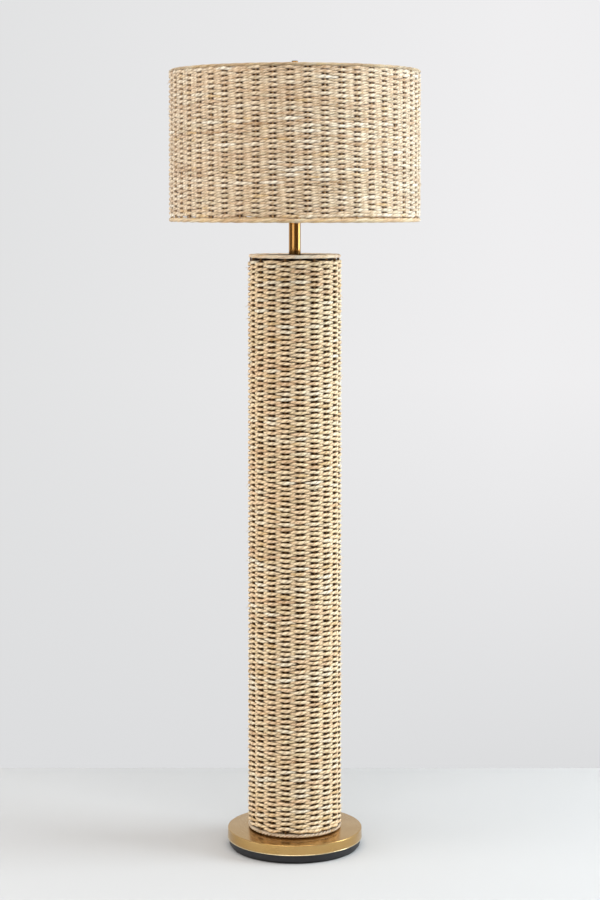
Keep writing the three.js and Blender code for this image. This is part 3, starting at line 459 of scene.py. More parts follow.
def makeStrandTree():
    tree, given, made = newGroup("strandRoundAxis", "GeometryNodeTree", {
        "Radius": 0.0888, "Foot": 0.0, "First Lap": 0.0, "Laps": 1.0, "Lap Rise": 0.0, "Rows": 1000.0,
        "Waves per Lap": 9.5, "Wave Out": 0.004, "Wave Up": 0.0, "Start Angle": 0.0, "Sharpness": 0.0,
        "Steps per Lap": 152, "Sides": 8, "Half Thickness": 0.0022, "Half Height": 0.0026,
        "Spread Out": 0.0, "Pinch": 2.5, "Wander": 0.0, "Jitter": 1.5, "Unevenness": 0.0, "Lumps": 0.0,
        "Tone Length": 0.3, "Seed": 1.0, "Material": "NodeSocketMaterial",
    }, ["Geometry"])

    def stir(vector, scale, seedShift):
        return subtract(noise(vector, scale, 1.0, w=add(given["Seed"], seedShift)), 0.5)

    steps = calc("ROUND", multiply(given["Laps"], given["Steps per Lap"]))
    points = geometry("ResampleCurve", {
        "Curve": source(tree, "CurvePrimitiveLine"), "Count": add(steps, 1.0)}, mode="COUNT")
    lap = add(given["First Lap"], calc("DIVIDE", source(tree, "InputIndex"), given["Steps per Lap"]))
    angle = add(multiply(lap, turn), given["Start Angle"])
    wavesRun = multiply(lap, given["Waves per Lap"])
    phase = multiply(wavesRun, turn)
    roundWave = calc("COSINE", phase)
    waveSize = calc("ABSOLUTE", roundWave)
    waveOut = multiply(roundWave, calc("POWER", waveSize, given["Sharpness"]))
    row = calc("MINIMUM", calc("MAXIMUM", lap, 0.0), given["Rows"])
    waveUp = multiply(given["Wave Up"], calc("SINE", phase))
    level = add(given["Foot"], multiply(row, given["Lap Rise"]), waveUp)
    spot = roundSpot(angle, given["Radius"], level)
    slow = multiply(stir(spot, 17.0, 0.0), 4.0)
    quick = stir(vectorCalc("MULTIPLY", spot, (1.0, 1.0, 4.5)), 48.0, 5.0)
    bulge = stir(spot, 70.0, 9.0)
    height = add(level, multiply(given["Wander"], add(slow, multiply(quick, given["Jitter"]))))
    reach = add(given["Radius"], multiply(given["Wave Out"], waveOut),
                multiply(given["Unevenness"], multiply(bulge, 2.0)))
    moved = geometry("SetPosition", {"Geometry": points, "Position": roundSpot(angle, reach, height)})
    kept = geometry("SetCurveNormal", {"Curve": moved, "Normal": roundSpot(angle, 1.0, 0.0)}, mode="FREE")

    # how far the strand has run, its tone, its bend, its middle height and how much it swells here
    roundRun = calc("DIVIDE", multiply(angle, given["Radius"]), given["Tone Length"])
    slowTone = noiseAlong(add(roundRun, multiply(given["Seed"], 7.3)), 1.0)
    quickTone = nodeAfter("FunctionNodeRandomValue", {"ID": calc("ROUND", wavesRun)}, data_type="FLOAT")[1]
    tone = add(multiply(subtract(slowTone, 0.5), 1.25), multiply(subtract(quickTone, 0.5), 0.22), 0.5)
    pinched = calc("POWER", waveSize, given["Pinch"])
    swelling = multiply(add(1.0, multiply(given["Spread Out"], subtract(1.0, pinched))),
                        add(1.0, multiply(bulge, given["Lumps"])))
    run = node(tree, "GeometryNodeSplineParameter").outputs["Length"]
    stored = {"along": run, "tone": tone, "bend": waveOut, "middleHeight": height, "swelling": swelling}
    for label, value in stored.items():
        kept = store(kept, label, value)
    circle = circleSection(given["Sides"], 1.0)
    marked = store(circle, "across", source(tree, "InputPosition"), "FLOAT_VECTOR")
    section = geometry("Transform", {
        "Geometry": marked, "Scale": combine(given["Half Thickness"], given["Half Height"], 1.0)})
    shape = sweep(kept, section)

    above = subtract(separate(source(tree, "InputPosition"))[2], readBack(tree, "middleHeight"))
    lift = multiply(above, subtract(readBack(tree, "swelling"), 1.0))
    shape = geometry("SetPosition", {"Geometry": shape, "Offset": combine(0.0, 0.0, lift)})
    for label in ("middleHeight", "swelling"):
        shape = geometry("RemoveAttribute", {"Geometry": shape, "Name": label})
    return deliver(tree, made, geometry("SetShadeSmooth", {"Geometry": shape}), given["Material"])


# Geometry Nodes: upright stakes in a ring

def makeStakeTree():
    tree, given, made = newGroup("stakeRing", "GeometryNodeTree", {
        "Radius": 0.0888, "Count": 19, "Start Angle": 0.0, "Foot": 0.0, "Top": 1.0, "Thickness": 0.0036,
        "Sides": 8, "Crookedness": 0.0004, "Material": "NodeSocketMaterial",
    }, ["Geometry"])
    share = calc("DIVIDE", source(tree, "InputIndex"), given["Count"])
    angle = add(multiply(share, turn), given["Start Angle"])
    row = geometry("MeshLine", {"Count": given["Count"]})
    placed = geometry("SetPosition", {
        "Geometry": row, "Position": roundSpot(angle, given["Radius"], given["Foot"])})
    top = combine(0.0, 0.0, subtract(given["Top"], given["Foot"]))
    spine = geometry("ResampleCurve", {
        "Curve": geometry("CurvePrimitiveLine", {"End": top}), "Count": 24}, mode="COUNT")
    stake = sweep(spine, circleSection(given["Sides"], calc("DIVIDE", given["Thickness"], 2.0)))
    ring = geometry("InstanceOnPoints", {"Points": placed, "Instance": stake})
    wobble = nodeAfter("ShaderNodeTexNoise", {
        "Vector": source(tree, "InputPosition"), "Scale": 25.0, "Detail": 1.0})["Color"]
    offset = vectorCalc("SCALE", vectorCalc("SUBTRACT", wobble, (0.5, 0.5, 0.5)),
                        multiply(given["Crookedness"], 3.0))
    crooked = geometry("SetPosition", {
        "Geometry": geometry("RealizeInstances", {"Geometry": ring}),
        "Offset": vectorCalc("MULTIPLY", offset, (1.0, 1.0, 0.0))})
    return deliver(tree, made, geometry("SetShadeSmooth", {"Geometry": crooked}), given["Material"])


# Geometry Nodes: loose fibre ends that stand out from a woven wall

def makeFibreTree():
    tree, given, made = newGroup("looseFibres", "GeometryNodeTree", {
        "Radius": 0.0925, "Foot": 0.0, "Top": 1.0, "Count": 200, "Length": 0.018, "Stand Out": 0.003,
        "Thickness": 0.0007, "Seed": 1, "Material": "NodeSocketMaterial",
    }, ["Geometry"])

    def chance(low, high, seedShift):
        bounds = {2: low, 3: high, "Seed": add(given["Seed"], seedShift)}
        return nodeAfter("FunctionNodeRandomValue", bounds, data_type="FLOAT")[1]

    row = geometry("MeshLine", {"Count": given["Count"]})
    angle = chance(0.0, turn, 10.0)
    spot = roundSpot(angle, given["Radius"], chance(given["Foot"], given["Top"], 20.0))
    bow = geometry("CurveQuadraticBezier", {
        "Resolution": 5,
        "Start": (0.0, 0.0, 0.0),
        "Middle": combine(multiply(given["Length"], 0.55), 0.0, multiply(given["Length"], 0.08)),
        "End": combine(given["Length"], multiply(given["Stand Out"], -1.0), 0.0),
    })
    fibre = sweep(bow, circleSection(3, calc("DIVIDE", given["Thickness"], 2.0)))
    slant, size = chance(-0.75, 0.75, 30.0), chance(0.4, 1.3, 40.0)
    scattered = geometry("InstanceOnPoints", {
        "Points": geometry("SetPosition", {"Geometry": row, "Position": spot}), "Instance": fibre,
        "Rotation": combine(0.0, slant, angle), "Scale": combine(size, size, size),
    })
    return deliver(tree, made, scattered, given["Material"])


strandTree = makeStrandTree()
stakeTree = makeStakeTree()
fibreTree = makeFibreTree()


def grow(name, tree, values):
    piece = addObject(name, bpy.data.meshes.new(name))
    modifier = piece.modifiers.new("grow", "NODES")
    modifier.node_group = tree
    sockets = {item.name: item.identifier for item in tree.interface.items_tree if item.in_out == "INPUT"}
    for label, value in values.items():
        modifier[sockets[label]] = value
    evaluated = piece.evaluated_get(bpy.context.evaluated_depsgraph_get())
    mesh = bpy.data.meshes.new_from_object(evaluated)
    piece.modifiers.clear()
    piece.data = mesh
    mesh.name = name
    return piece


def joinPieces(name, parts):
    chosen = {"selected_editable_objects": parts, "selected_objects": parts}
    with bpy.context.temp_override(active_object=parts[0], **chosen):
        bpy.ops.object.join()
    parts[0].name = name
    parts[0].data.name = name
    return parts[0]


def install(piece, body, *replaced):
    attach(piece, body)
    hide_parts(*replaced)
    return piece


def ends(label):
    low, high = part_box(label)
    return low.z, high.z, (high.x - low.x) / 2


# Woven walls: a strand, a welded cage and loose fibres

wireShape = {
    "Laps": 1.0, "Waves per Lap": 0.0, "Wave Out": 0.0, "Sides": 8,
    "Half Thickness": 0.002, "Half Height": 0.002, "Material": wirePaint,
}
weaveShape = {"Sides": 8, "Half Thickness": 0.0023, "Spread Out": -0.22, "Pinch": 2.0, "Unevenness": 0.0005}
stakeShape = {"Thickness": 0.0036, "Sides": 8}
fibreShape = {"Count": 420, "Thickness": 0.0007, "Material": fibreStraw}
ropeShape = {
    "Laps": 3.0, "Sides": 8, "Wander": 0.0002, "Unevenness": 0.0003, "Tone Length": 0.12,
    "Material": borderStraw,
}
wireInset, fibreInset = 0.002, 0.01


def weaveStrand(name, label, look, parts, body, topGap):
    # the strand winds one level lap at the foot and one at the top
    low, high, _ = ends(label)
    margin = look["Lap Rise"] * 0.9
    rows = (high - low - topGap - 2 * margin) / look["Lap Rise"]
    faces = 0
    for number in range(parts):
        piece = grow("%s_%d" % (name, number + 1), strandTree, {
            **look, "Foot": low + margin, "Rows": rows,
            "First Lap": (rows + 2) * number / parts - 1, "Laps": (rows + 2) / parts,
        })
        install(piece, body, label)
        faces += len(piece.data.polygons)
    return faces


def weldCage(name, label, stakes, wire, body):
    low, high, _ = ends(label)
    low, high = low + wireInset, high - wireInset
    cage = joinPieces(name, [
        grow("stakes", stakeTree, {**stakeShape, **stakes, "Foot": low, "Top": high}),
        grow("footRing", strandTree, {**wireShape, **wire, "Foot": low}),
        grow("rimRing", strandTree, {**wireShape, **wire, "Foot": high}),
    ])
    install(cage, body, label)


def scatterFibres(name, label, look, body):
    low, high, _ = ends(label)
    fibres = grow(name, fibreTree, {**fibreShape, **look, "Foot": low + fibreInset, "Top": high - fibreInset})
    install(fibres, body, label)


def bindBorder(name, label, look, body, lift=0.0):
    low, high, _ = ends(label)
    install(grow(name, strandTree, {**ropeShape, **look, "Foot": (low + high) / 2 + lift}), body, label)


# Woven column

columnStakes = {"Count": 19, "Start Angle": math.radians(7)}
columnWeave = {
    **weaveShape, "Radius": 0.0888, "Lap Rise": 0.00515, "Waves per Lap": columnStakes["Count"] / 2,
    "Start Angle": columnStakes["Start Angle"], "Wave Out": 0.0034, "Sharpness": 0.4, "Steps per Lap": 152,
    "Half Height": 0.0038, "Wander": 0.0016, "Jitter": 2.8, "Lumps": 1.0, "Tone Length": 0.22, "Seed": 3.0,
    "Material": columnStraw,
}
columnFaces = weaveStrand("column_strand", "column_weave", columnWeave, 4, "stand", -0.0003)
weldCage("column_stakes_and_rings", "column_cage", {
    **columnStakes, "Radius": 0.0885, "Crookedness": 0.0004, "Material": shadowDarkStake,
}, {"Radius": 0.0888, "Steps per Lap": 96}, "stand")
scatterFibres("column_loose_fibres", "column_weave", {
    "Radius": 0.0925, "Length": 0.018, "Stand Out": 0.0035, "Seed": 5}, "stand")
print("column woven:", columnFaces, "faces")
bindBorder("column_rim_border", "column_rim_wrap", {
    "Material": columnBorder, "Radius": 0.0888, "Waves per Lap": 6 + 1 / 3, "Steps per Lap": 200,
    "Wave Out": 0.0017, "Wave Up": 0.0011, "Half Thickness": 0.0025, "Half Height": 0.0027, "Seed": 11.0,
}, "stand", -0.0002)
bindBorder("column_foot_rope", "column_foot_wrap", {
    "Material": footStraw, "Radius": 0.0888, "Waves per Lap": 22 + 1 / 3, "Steps per Lap": 268,
    "Wave Out": 0.0031, "Wave Up": 0.0014, "Half Thickness": 0.0024, "Half Height": 0.0023, "Seed": 12.0,
}, "stand")
print("column borders bound")


# Woven shade

shadeStakes = {"Count": 47, "Start Angle": math.radians(-2)}
shadeWeave = {
    **weaveShape, "Radius": 0.2472, "Lap Rise": 0.00485, "Waves per Lap": shadeStakes["Count"] / 2,
    "Start Angle": shadeStakes["Start Angle"], "Wave Out": 0.0030, "Sharpness": 2.7, "Steps per Lap": 376,
    "Half Height": 0.0037, "Wander": 0.0015, "Jitter": 2.4, "Lumps": 0.9, "Tone Length": 0.24, "Seed": 6.0,
    "Material": shadeStraw,
}
shadeFaces = weaveStrand("shade_strand", "shade_weave", shadeWeave, 2, "shade", -0.0024)
weldCage("shade_stakes_and_rings", "shade_frame", {
    **shadeStakes, "Radius": 0.2473, "Crookedness": 0.0005, "Material": peeledStake,
}, {"Radius": 0.2478, "Steps per Lap": 196}, "shade")
scatterFibres("shade_loose_fibres", "shade_weave", {
    "Radius": 0.2505, "Length": 0.016, "Stand Out": 0.003, "Seed": 8}, "shade")
bindBorder("shade_rim_rope", "shade_rim_wrap", {
    "Material": rimStraw, "Radius": 0.2475, "Waves per Lap": 19 + 1 / 3, "Steps per Lap": 348,
    "Wave Out": 0.0022, "Wave Up": 0.0010, "Half Thickness": 0.0026, "Half Height": 0.0026, "Seed": 21.0,
}, "shade", -0.001)
bindBorder("shade_foot_rope", "shade_foot_wrap", {
    "Radius": 0.2478, "Waves per Lap": 17 + 1 / 3, "Steps per Lap": 312,
    "Wave Out": 0.0020, "Wave Up": 0.0017, "Half Thickness": 0.0027, "Half Height": 0.0028, "Seed": 22.0,
}, "shade")
print("shade woven:", shadeFaces, "faces")


# Turned, swept and softened pieces

def newPiece(name, builder, material):
    builder.normal_update()
    mesh = bpy.data.meshes.new(name)
    builder.to_mesh(mesh)
    builder.free()
    mesh.materials.append(material)
    for face in mesh.polygons:
        face.use_smooth = True
    return addObject(name, mesh)


def rounded(points, radius, steps=4):
    # the profile with each inner corner replaced by a small arc
    made = [points[0]]
    for before, corner, after in zip(points, points[1:], points[2:]):
        toBefore = Vector(before) - Vector(corner)
        toAfter = Vector(after) - Vector(corner)
        reach = min(radius, toBefore.length * 0.45, toAfter.length * 0.45)
        start = Vector(corner) + toBefore.normalized() * reach
        end = Vector(corner) + toAfter.normalized() * reach
        for step in range(steps + 1):
            share = step / steps
            bend = start * (1 - share) ** 2 + Vector(corner) * 2 * share * (1 - share) + end * share ** 2
            made.append(tuple(bend))
    made.append(points[-1])
    return made


def roundPoints(radius, height, count):
    angles = [turn * i / count for i in range(count)]
    return [(radius * math.sin(angle), -radius * math.cos(angle), height) for angle in angles]


def latheMesh(profile, segments):
    # (radius, height) points turned about Z; a ring profile is closed, an open one ends on the axis
    builder = bmesh.new()
    onAxis = 1e-6
    rings = []
    for radius, height in profile:
        spots = [(0, 0, height)] if radius < onAxis else roundPoints(radius, height, segments)
        rings.append([builder.verts.new(spot) for spot in spots])
    pairs = list(zip(rings, rings[1:]))
    if profile[0][0] > onAxis:
        pairs.append((rings[-1], rings[0]))
    for first, second in pairs:
        for i in range(segments):
            corners = [first[i % len(first)], first[(i + 1) % len(first)],
                       second[(i + 1) % len(second)], second[i % len(second)]]
            distinct = list(dict.fromkeys(corners))
            if len(distinct) > 2:
                builder.faces.new(distinct)
    bmesh.ops.recalc_face_normals(builder, faces=builder.faces)
    return builder


def turned(name, profile, material, segments=64, soft=0.0004):
    return newPiece(name, latheMesh(rounded(profile, soft) if soft else profile, segments), material)


def ringTurned(name, profile, material, segments=64, soft=0.0004):
    # the ring profile starts in the middle of its first side, so that all its corners are softened
    first, last = profile[0], profile[-1]
    start = ((first[0] + last[0]) / 2, (first[1] + last[1]) / 2)
    return turned(name, [start, *profile, (start[0], start[1] + 1e-6)], material, segments, soft)


def tubeProfile(outer, inner, low, high):
    return [(inner, low), (outer, low), (outer, high), (inner, high)]


def discProfile(lowRadius, highRadius, low, high):
    return [(0, low), (lowRadius, low), (highRadius, high), (0, high)]


def threaded(low, high, outer, depth, pitch):
    # a wavy profile that reads as a thread
    count = max(1, round((high - low) / pitch))
    step = (high - low) / count
    wave = [(depth, 0.1), (0, 0.45), (0, 0.6), (depth, 0.95)]
    return [(outer - cut, low + step * (number + share)) for number in range(count) for cut, share in wave]


def groove(radius, middle, half, depth=0.0004):
    return [(radius, middle - half), (radius - depth, middle), (radius, middle + half)]


def swept(name, points, radius, material, sides=12):
    builder = bmesh.new()
    angles = [turn * k / sides for k in range(sides)]
    rings = []
    side = Vector((0, 1, 0))
    for i, point in enumerate(points):
        before = points[max(i - 1, 0)]
        after = points[min(i + 1, len(points) - 1)]
        along = (after - before).normalized()
        side = (side - along * side.dot(along)).normalized()
        other = along.cross(side)
        rings.append([
            builder.verts.new(point + (side * math.cos(angle) + other * math.sin(angle)) * radius)
            for angle in angles
        ])
    for first, second in zip(rings, rings[1:]):
        for k in range(sides):
            builder.faces.new((first[k], first[(k + 1) % sides], second[(k + 1) % sides], second[k]))
    builder.faces.new(rings[0])
    builder.faces.new(rings[-1])
    bmesh.ops.recalc_face_normals(builder, faces=builder.faces)
    return newPiece(name, builder, material)


def softened(name, label, material, width, body):
    # a merged copy of a CAD node with rounded edges
    builder = bmesh.new()
    builder.from_mesh(nodes[label].data)
    bmesh.ops.remove_doubles(builder, verts=builder.verts, dist=1e-6)
    bmesh.ops.dissolve_limit(builder, angle_limit=math.radians(1), verts=builder.verts, edges=builder.edges)
    flattest = math.radians(32)
    sharp = [edge for edge in builder.edges if edge.is_manifold and edge.calc_face_angle(0) > flattest]
    bmesh.ops.bevel(builder, geom=sharp, offset=width, segments=3, affect="EDGES", clamp_overlap=True)
    piece = newPiece(name, builder, material)
    piece.data.set_sharp_from_angle(angle=math.radians(40))
    install(piece, body, label)


# Base

baseLook = {
    "pipeHole": 0.0053, "wall": 0.0015, "coverCorner": 0.0018, "lipDepth": 0.0022, "lipBead": 0.0009,
    "lipGap": 0.0004, "recessRadius": 0.035, "recessTop": 0.0168, "footChamfer": (0.0022, 0.0028),
    "topChamfer": 0.0025, "segments": 160,
}
pipeHole, wall, lipBead = baseLook["pipeHole"], baseLook["wall"], baseLook["lipBead"]
coverLow, coverHigh, coverRadius = ends("base_cover")
plateLow, plateHigh, plateRadius = ends("base_weight")
padLow, padHigh, padRadius = ends("base_pad")
lipTop, lipInside = coverLow + baseLook["lipDepth"], plateRadius + baseLook["lipGap"]
install(turned("spun_cover", [
    (pipeHole, coverHigh), (pipeHole, coverHigh - wall),
    (coverRadius - wall - 0.001, coverHigh - wall), (coverRadius - wall, coverHigh - wall - 0.001),
    (coverRadius - wall, lipTop), (lipInside, lipTop), (lipInside, coverLow),
    (coverRadius, coverLow), (coverRadius, coverHigh), (pipeHole + 0.0001, coverHigh),
], spunBrass, baseLook["segments"], baseLook["coverCorner"]), "stand", "base_cover")
# the rolled lip is turned in a pale brass: a painted highlight along the cover's lower edge
lipSteps = 8
install(turned("cover_rolled_lip", [
    (coverRadius - lipBead * (0.5 - math.cos(turn * step / lipSteps)),
     coverLow + lipBead * (1 + math.sin(turn * step / lipSteps)))
    for step in range(lipSteps)
], highlightLipBrass, baseLook["segments"], 0.0), "stand", "base_cover")
recess, recessTop = baseLook["recessRadius"], baseLook["recessTop"]
footIn, footUp = baseLook["footChamfer"]
topChamfer = baseLook["topChamfer"]
install(turned("base_plate_casting", [
    (pipeHole, plateHigh), (pipeHole, recessTop), (recess, recessTop), (recess, plateLow),
    (plateRadius - footIn, plateLow), (plateRadius, plateLow + footUp),
    (plateRadius, plateHigh - topChamfer), (plateRadius - topChamfer, plateHigh),
], blackCoat, baseLook["segments"], 0.0012), "stand", "base_weight")
padDisc = discProfile(padRadius, padRadius, padLow, padHigh)
install(turned("felt_pad", padDisc, blackFelt, 96, 0.0008), "stand", "base_pad")

bushingLook = {"bore": 0.0036, "barrel": 0.0052, "collar": 0.0065, "collarDepth": 0.0018}
bushingLow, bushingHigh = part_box("cord_bushing")
collarStart = bushingHigh.y - bushingLook["collarDepth"]
bore, barrel, collar = (bushingLook[key] for key in ("bore", "barrel", "collar"))
bushing = turned("inlet_bushing", [
    (bore, bushingLow.y), (barrel, bushingLow.y), (barrel, collarStart),
    (collar, collarStart), (collar, bushingHigh.y), (bore, bushingHigh.y),
], mouldedPhenolic, 32)
for vertex in bushing.data.vertices:
    x, y, z = vertex.co
    vertex.co = (x, z, (bushingLow.z + bushingHigh.z) / 2 - y)
install(bushing, "stand", "cord_bushing")
print("base made")


# Neck, harp and shade hardware

neckLook = {"wall": 0.0015, "plug": 0.0102, "flange": 0.004, "lidInset": 0.0015, "lidShadeSkirt": 0.008}
neckLow, neckHigh, neckRadius = ends("neck_tube")
neckTube = tubeProfile(neckRadius, neckRadius - neckLook["wall"], neckLow, neckHigh)
install(ringTurned("neck", neckTube, polishedBrass, 96), "stand", "neck_tube")
capLow, capHigh, capRadius = ends("neck_cap")
install(ringTurned("neck_cap_turned", [
    (pipeHole, capLow), (neckLook["plug"], capLow), (neckLook["plug"], capHigh - neckLook["flange"]),
    (capRadius, capHigh - neckLook["flange"]), (capRadius, capHigh - 0.001), (capRadius - 0.001, capHigh),
    (pipeHole, capHigh),
], polishedBrass, 64, 0.0006), "stand", "neck_cap")
# the lid is dark and hangs a skirt down behind the slit under the column's rim: painted shade in that slit
lidLow, lidHigh, lidRadius = ends("column_top_plate")
skirtInside, skirtLow = lidRadius - neckLook["lidInset"], lidLow - neckLook["lidShadeSkirt"]
install(ringTurned("column_lid", [
    (pipeHole, lidLow), (skirtInside, lidLow), (skirtInside, skirtLow), (lidRadius, skirtLow),
    (lidRadius, lidHigh), (pipeHole, lidHigh),
], darkTipAndLidShade, 96, 0.0006), "stand", "column_top_plate")
softened("harp_saddle_strip", "harp_saddle", stampedBrass, 0.0005, "stand")
softened("saddle_nut", "saddle_lock_nut", zincSteel, 0.0004, "stand")

harpLook = {
    "legX": 0.0319, "leg": 0.0275, "halfWidth": 0.058, "widestShare": 0.42, "rod": 0.0016, "steps": 20,
    "pad": 0.0065, "padHole": 0.0026, "padHalf": 0.002,
}
quarterCurve = 0.5523   # places the middle points of a cubic that follows a quarter circle


def cubic(first, second, third, fourth, share):
    rest = 1 - share
    return (first * rest ** 3 + second * 3 * rest ** 2 * share
            + third * 3 * rest * share ** 2 + fourth * share ** 3)


def harpLine(look, low, top):
    legX, half = look["legX"], look["halfWidth"]
    legTop = low + look["leg"]
    widest = legTop + (top - legTop) * look["widestShare"]
    rise, crown = widest - legTop, top - widest
    bends = [
        [(legX, legTop), (legX, legTop + rise * 0.5), (half, widest - rise * 0.5), (half, widest)],
        [(half, widest), (half, widest + crown * quarterCurve), (half * quarterCurve, top), (0, top)],
    ]
    right = [Vector((legX, 0, low)), Vector((legX, 0, legTop))]
    for bend in bends:
        corners = [Vector((x, 0, z)) for x, z in bend]
        right += [cubic(*corners, step / look["steps"]) for step in range(1, look["steps"] + 1)]
    return right + [Vector((-point.x, 0, point.z)) for point in reversed(right[:-1])]


harpLow, harpHigh, _ = ends("harp_bow")
harpTop = harpHigh - harpLook["padHalf"]
harpRod = swept("harpRod", harpLine(harpLook, harpLow, harpTop), harpLook["rod"], polishedBrass)
padTube = tubeProfile(harpLook["pad"], harpLook["padHole"], harpTop - harpLook["padHalf"], harpHigh)
harpPad = ringTurned("harpPad", padTube, polishedBrass, 48, 0.0006)
install(joinPieces("harp_rod_and_pad", [harpRod, harpPad]), "stand", "harp_bow")

ferruleLook = {"wall": 0.001, "bead": 0.0022, "slope": 0.0004}
bead, slope = ferruleLook["bead"], ferruleLook["slope"]
for side in ("left", "right"):
    low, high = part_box("harp_ferrule_" + side)
    outer = (high.x - low.x) / 2
    bore, waist = outer - ferruleLook["wall"], outer - slope
    ferrule = ringTurned("ferrule_" + side, [
        (bore, low.z), (outer, low.z), (outer, low.z + bead), (waist, low.z + bead + slope),
        (waist, high.z - bead - slope), (outer, high.z - bead), (outer, high.z), (bore, high.z),
    ], polishedBrass, 40, 0.0003)
    for vertex in ferrule.data.vertices:
        vertex.co.x += (low.x + high.x) / 2
    install(ferrule, "ferrule_" + side, "harp_ferrule_" + side)

studLook = {
    "head": 0.004, "waist": 0.0023, "collar": 0.006, "thread": 0.003,
    "headTop": 0.0015, "collarLow": 0.0061, "collarTop": 0.0086,
}
studLow, studHigh, _ = ends("harp_stud")
headTop, collarLow, collarTop = (studLow + studLook[key] for key in ("headTop", "collarLow", "collarTop"))
install(turned("swivel_stud", [
    (0, studLow), (studLook["head"], studLow), (studLook["head"], headTop), (studLook["waist"], headTop),
    (studLook["waist"], collarLow), (studLook["collar"], collarLow), (studLook["collar"], collarTop),
    *threaded(collarTop, studHigh, studLook["thread"], 0.0004, 0.0013), (0, studHigh),
], polishedBrass, 40, 0.0002), "shade", "harp_stud")

spiderLook = {
    "arms": 3, "armStart": 0.0112, "armEnd": 0.245, "armRadius": 0.0018, "armSteps": 6,
    "hub": 0.013, "hole": 0.0033, "hubThick": 0.002, "gap": 0.0003,
}
hubLow = collarTop + spiderLook["gap"]
rimWire = ends("shade_frame")[1] - wireInset
hubTube = tubeProfile(spiderLook["hub"], spiderLook["hole"], hubLow, hubLow + spiderLook["hubThick"])
spider = [ringTurned("spiderHub", hubTube, wirePaint, 48, 0.0005)]
for number in range(spiderLook["arms"]):
    angle = turn * (number + 0.5) / spiderLook["arms"]
    outward = Vector((math.sin(angle), -math.cos(angle), 0))
    start = outward * spiderLook["armStart"] + Vector((0, 0, hubLow + spiderLook["hubThick"] / 2))
    end = outward * spiderLook["armEnd"] + Vector((0, 0, rimWire))
    line = [start.lerp(end, step / spiderLook["armSteps"]) for step in range(spiderLook["armSteps"] + 1)]
    spider.append(swept("arm%d" % number, line, spiderLook["armRadius"], wirePaint, 10))
install(joinPieces("spider", spider), "shade", "shade_spider")

finialLow, finialHigh, knob = ends("finial")
finialTall = finialHigh - finialLow
finialLook = {
    "foot": 0.0060, "waist": 0.0040, "bore": 0.0035, "boreTall": 0.0106,
    "tipInset": 0.0002, "tipBelow": 0.0016, "tipAbove": 0.0002,
    "footTo": 0.13, "waistFrom": 0.24, "waistTo": 0.36, "knobFrom": 0.54,      # shares of the height
}
boreTop = finialLow + finialLook["boreTall"]
foot, waist, bore = (finialLook[key] for key in ("foot", "waist", "bore"))
footTop, waistLow, waistTop, knobLow = (
    finialLow + finialTall * finialLook[key] for key in ("footTo", "waistFrom", "waistTo", "knobFrom"))
install(turned("finial_turned", [
    (0, boreTop), (bore, boreTop), (bore, finialLow), (foot, finialLow), (foot, footTop),
    (waist, waistLow), (waist, waistTop), (knob, knobLow), (knob, finialHigh - 0.0012),
    (knob - 0.0014, finialHigh), (0, finialHigh),
], polishedBrass, 56, 0.0011), "finial", "finial")
tip = knob - finialLook["tipInset"]
tipLow, tipHigh = finialHigh - finialLook["tipBelow"], finialHigh + finialLook["tipAbove"]
tipDisc = discProfile(tip, tip, tipLow, tipHigh)
install(turned("finial_dark_tip", tipDisc, darkTipAndLidShade, 56, 0.0005), "finial", "finial")
print("neck, harp and finial made")


# Lampholder and bulb

socketLook = {
    "sheet": 0.0008, "mouth": 0.008, "mouthTop": 0.007, "shoulder": 0.013,
    "capGroove": 0.0022, "shellGroove": 0.0112, "screwSheet": 0.0007, "screwFloor": 0.007, "pitch": 0.0036,
}
sheet, mouth, pitch = socketLook["sheet"], socketLook["mouth"], socketLook["pitch"]
capLow, capHigh, capRadius = ends("socket_cap")
mouthTop, shoulder = capLow + socketLook["mouthTop"], capLow + socketLook["shoulder"]
install(ringTurned("socket_cap_pressed", [
    (pipeHole, capLow), (mouth, capLow), (mouth, mouthTop), (capRadius, shoulder),
    *groove(capRadius, capHigh - socketLook["capGroove"], 0.0006), (capRadius, capHigh),
    (capRadius - sheet, capHigh), (capRadius - sheet, shoulder + sheet), (pipeHole, mouthTop + sheet),
], stampedBrass, 64, 0.0014), "stand", "socket_cap")
shellLow, shellHigh, shellRadius = ends("socket_shell")
install(ringTurned("socket_shell_pressed", [
    (shellRadius - sheet, shellLow), (shellRadius, shellLow),
    *groove(shellRadius, shellHigh - socketLook["shellGroove"], 0.0008), (shellRadius, shellHigh - 0.0012),
    (shellRadius - 0.0003, shellHigh), (shellRadius - sheet, shellHigh),
], stampedBrass, 64, 0.0005), "stand", "socket_shell")
softened("socket_core", "socket_body", mouldedPhenolic, 0.0004, "stand")
innerLow, innerHigh, innerRadius = ends("screw_shell")
screwSheet, screwFloor = socketLook["screwSheet"], socketLook["screwFloor"]
install(ringTurned("screw_shell_rolled", [
    (screwFloor, innerLow), (innerRadius, innerLow),
    *threaded(innerLow + 0.001, innerHigh - 0.001, innerRadius, 0.0003, pitch), (innerRadius, innerHigh),
    (innerRadius - screwSheet, innerHigh), (innerRadius - screwSheet, innerLow + screwSheet),
    (screwFloor, innerLow + screwSheet),
], stampedBrass, 56, 0.0003), "stand", "screw_shell")
softened("key_paddle", "switch_key", polishedBrass, 0.0007, "switch")
softened("key_shaft", "switch_shaft", zincSteel, 0.0005, "switch")

bulbLook = {
    "contactShare": 0.8, "neck": 0.0137, "neckTall": 0.003, "flare": 0.0172, "flareTall": 0.015,
    "rimTall": 0.002, "domeMouth": 0.028, "domeSteps": 24,
}

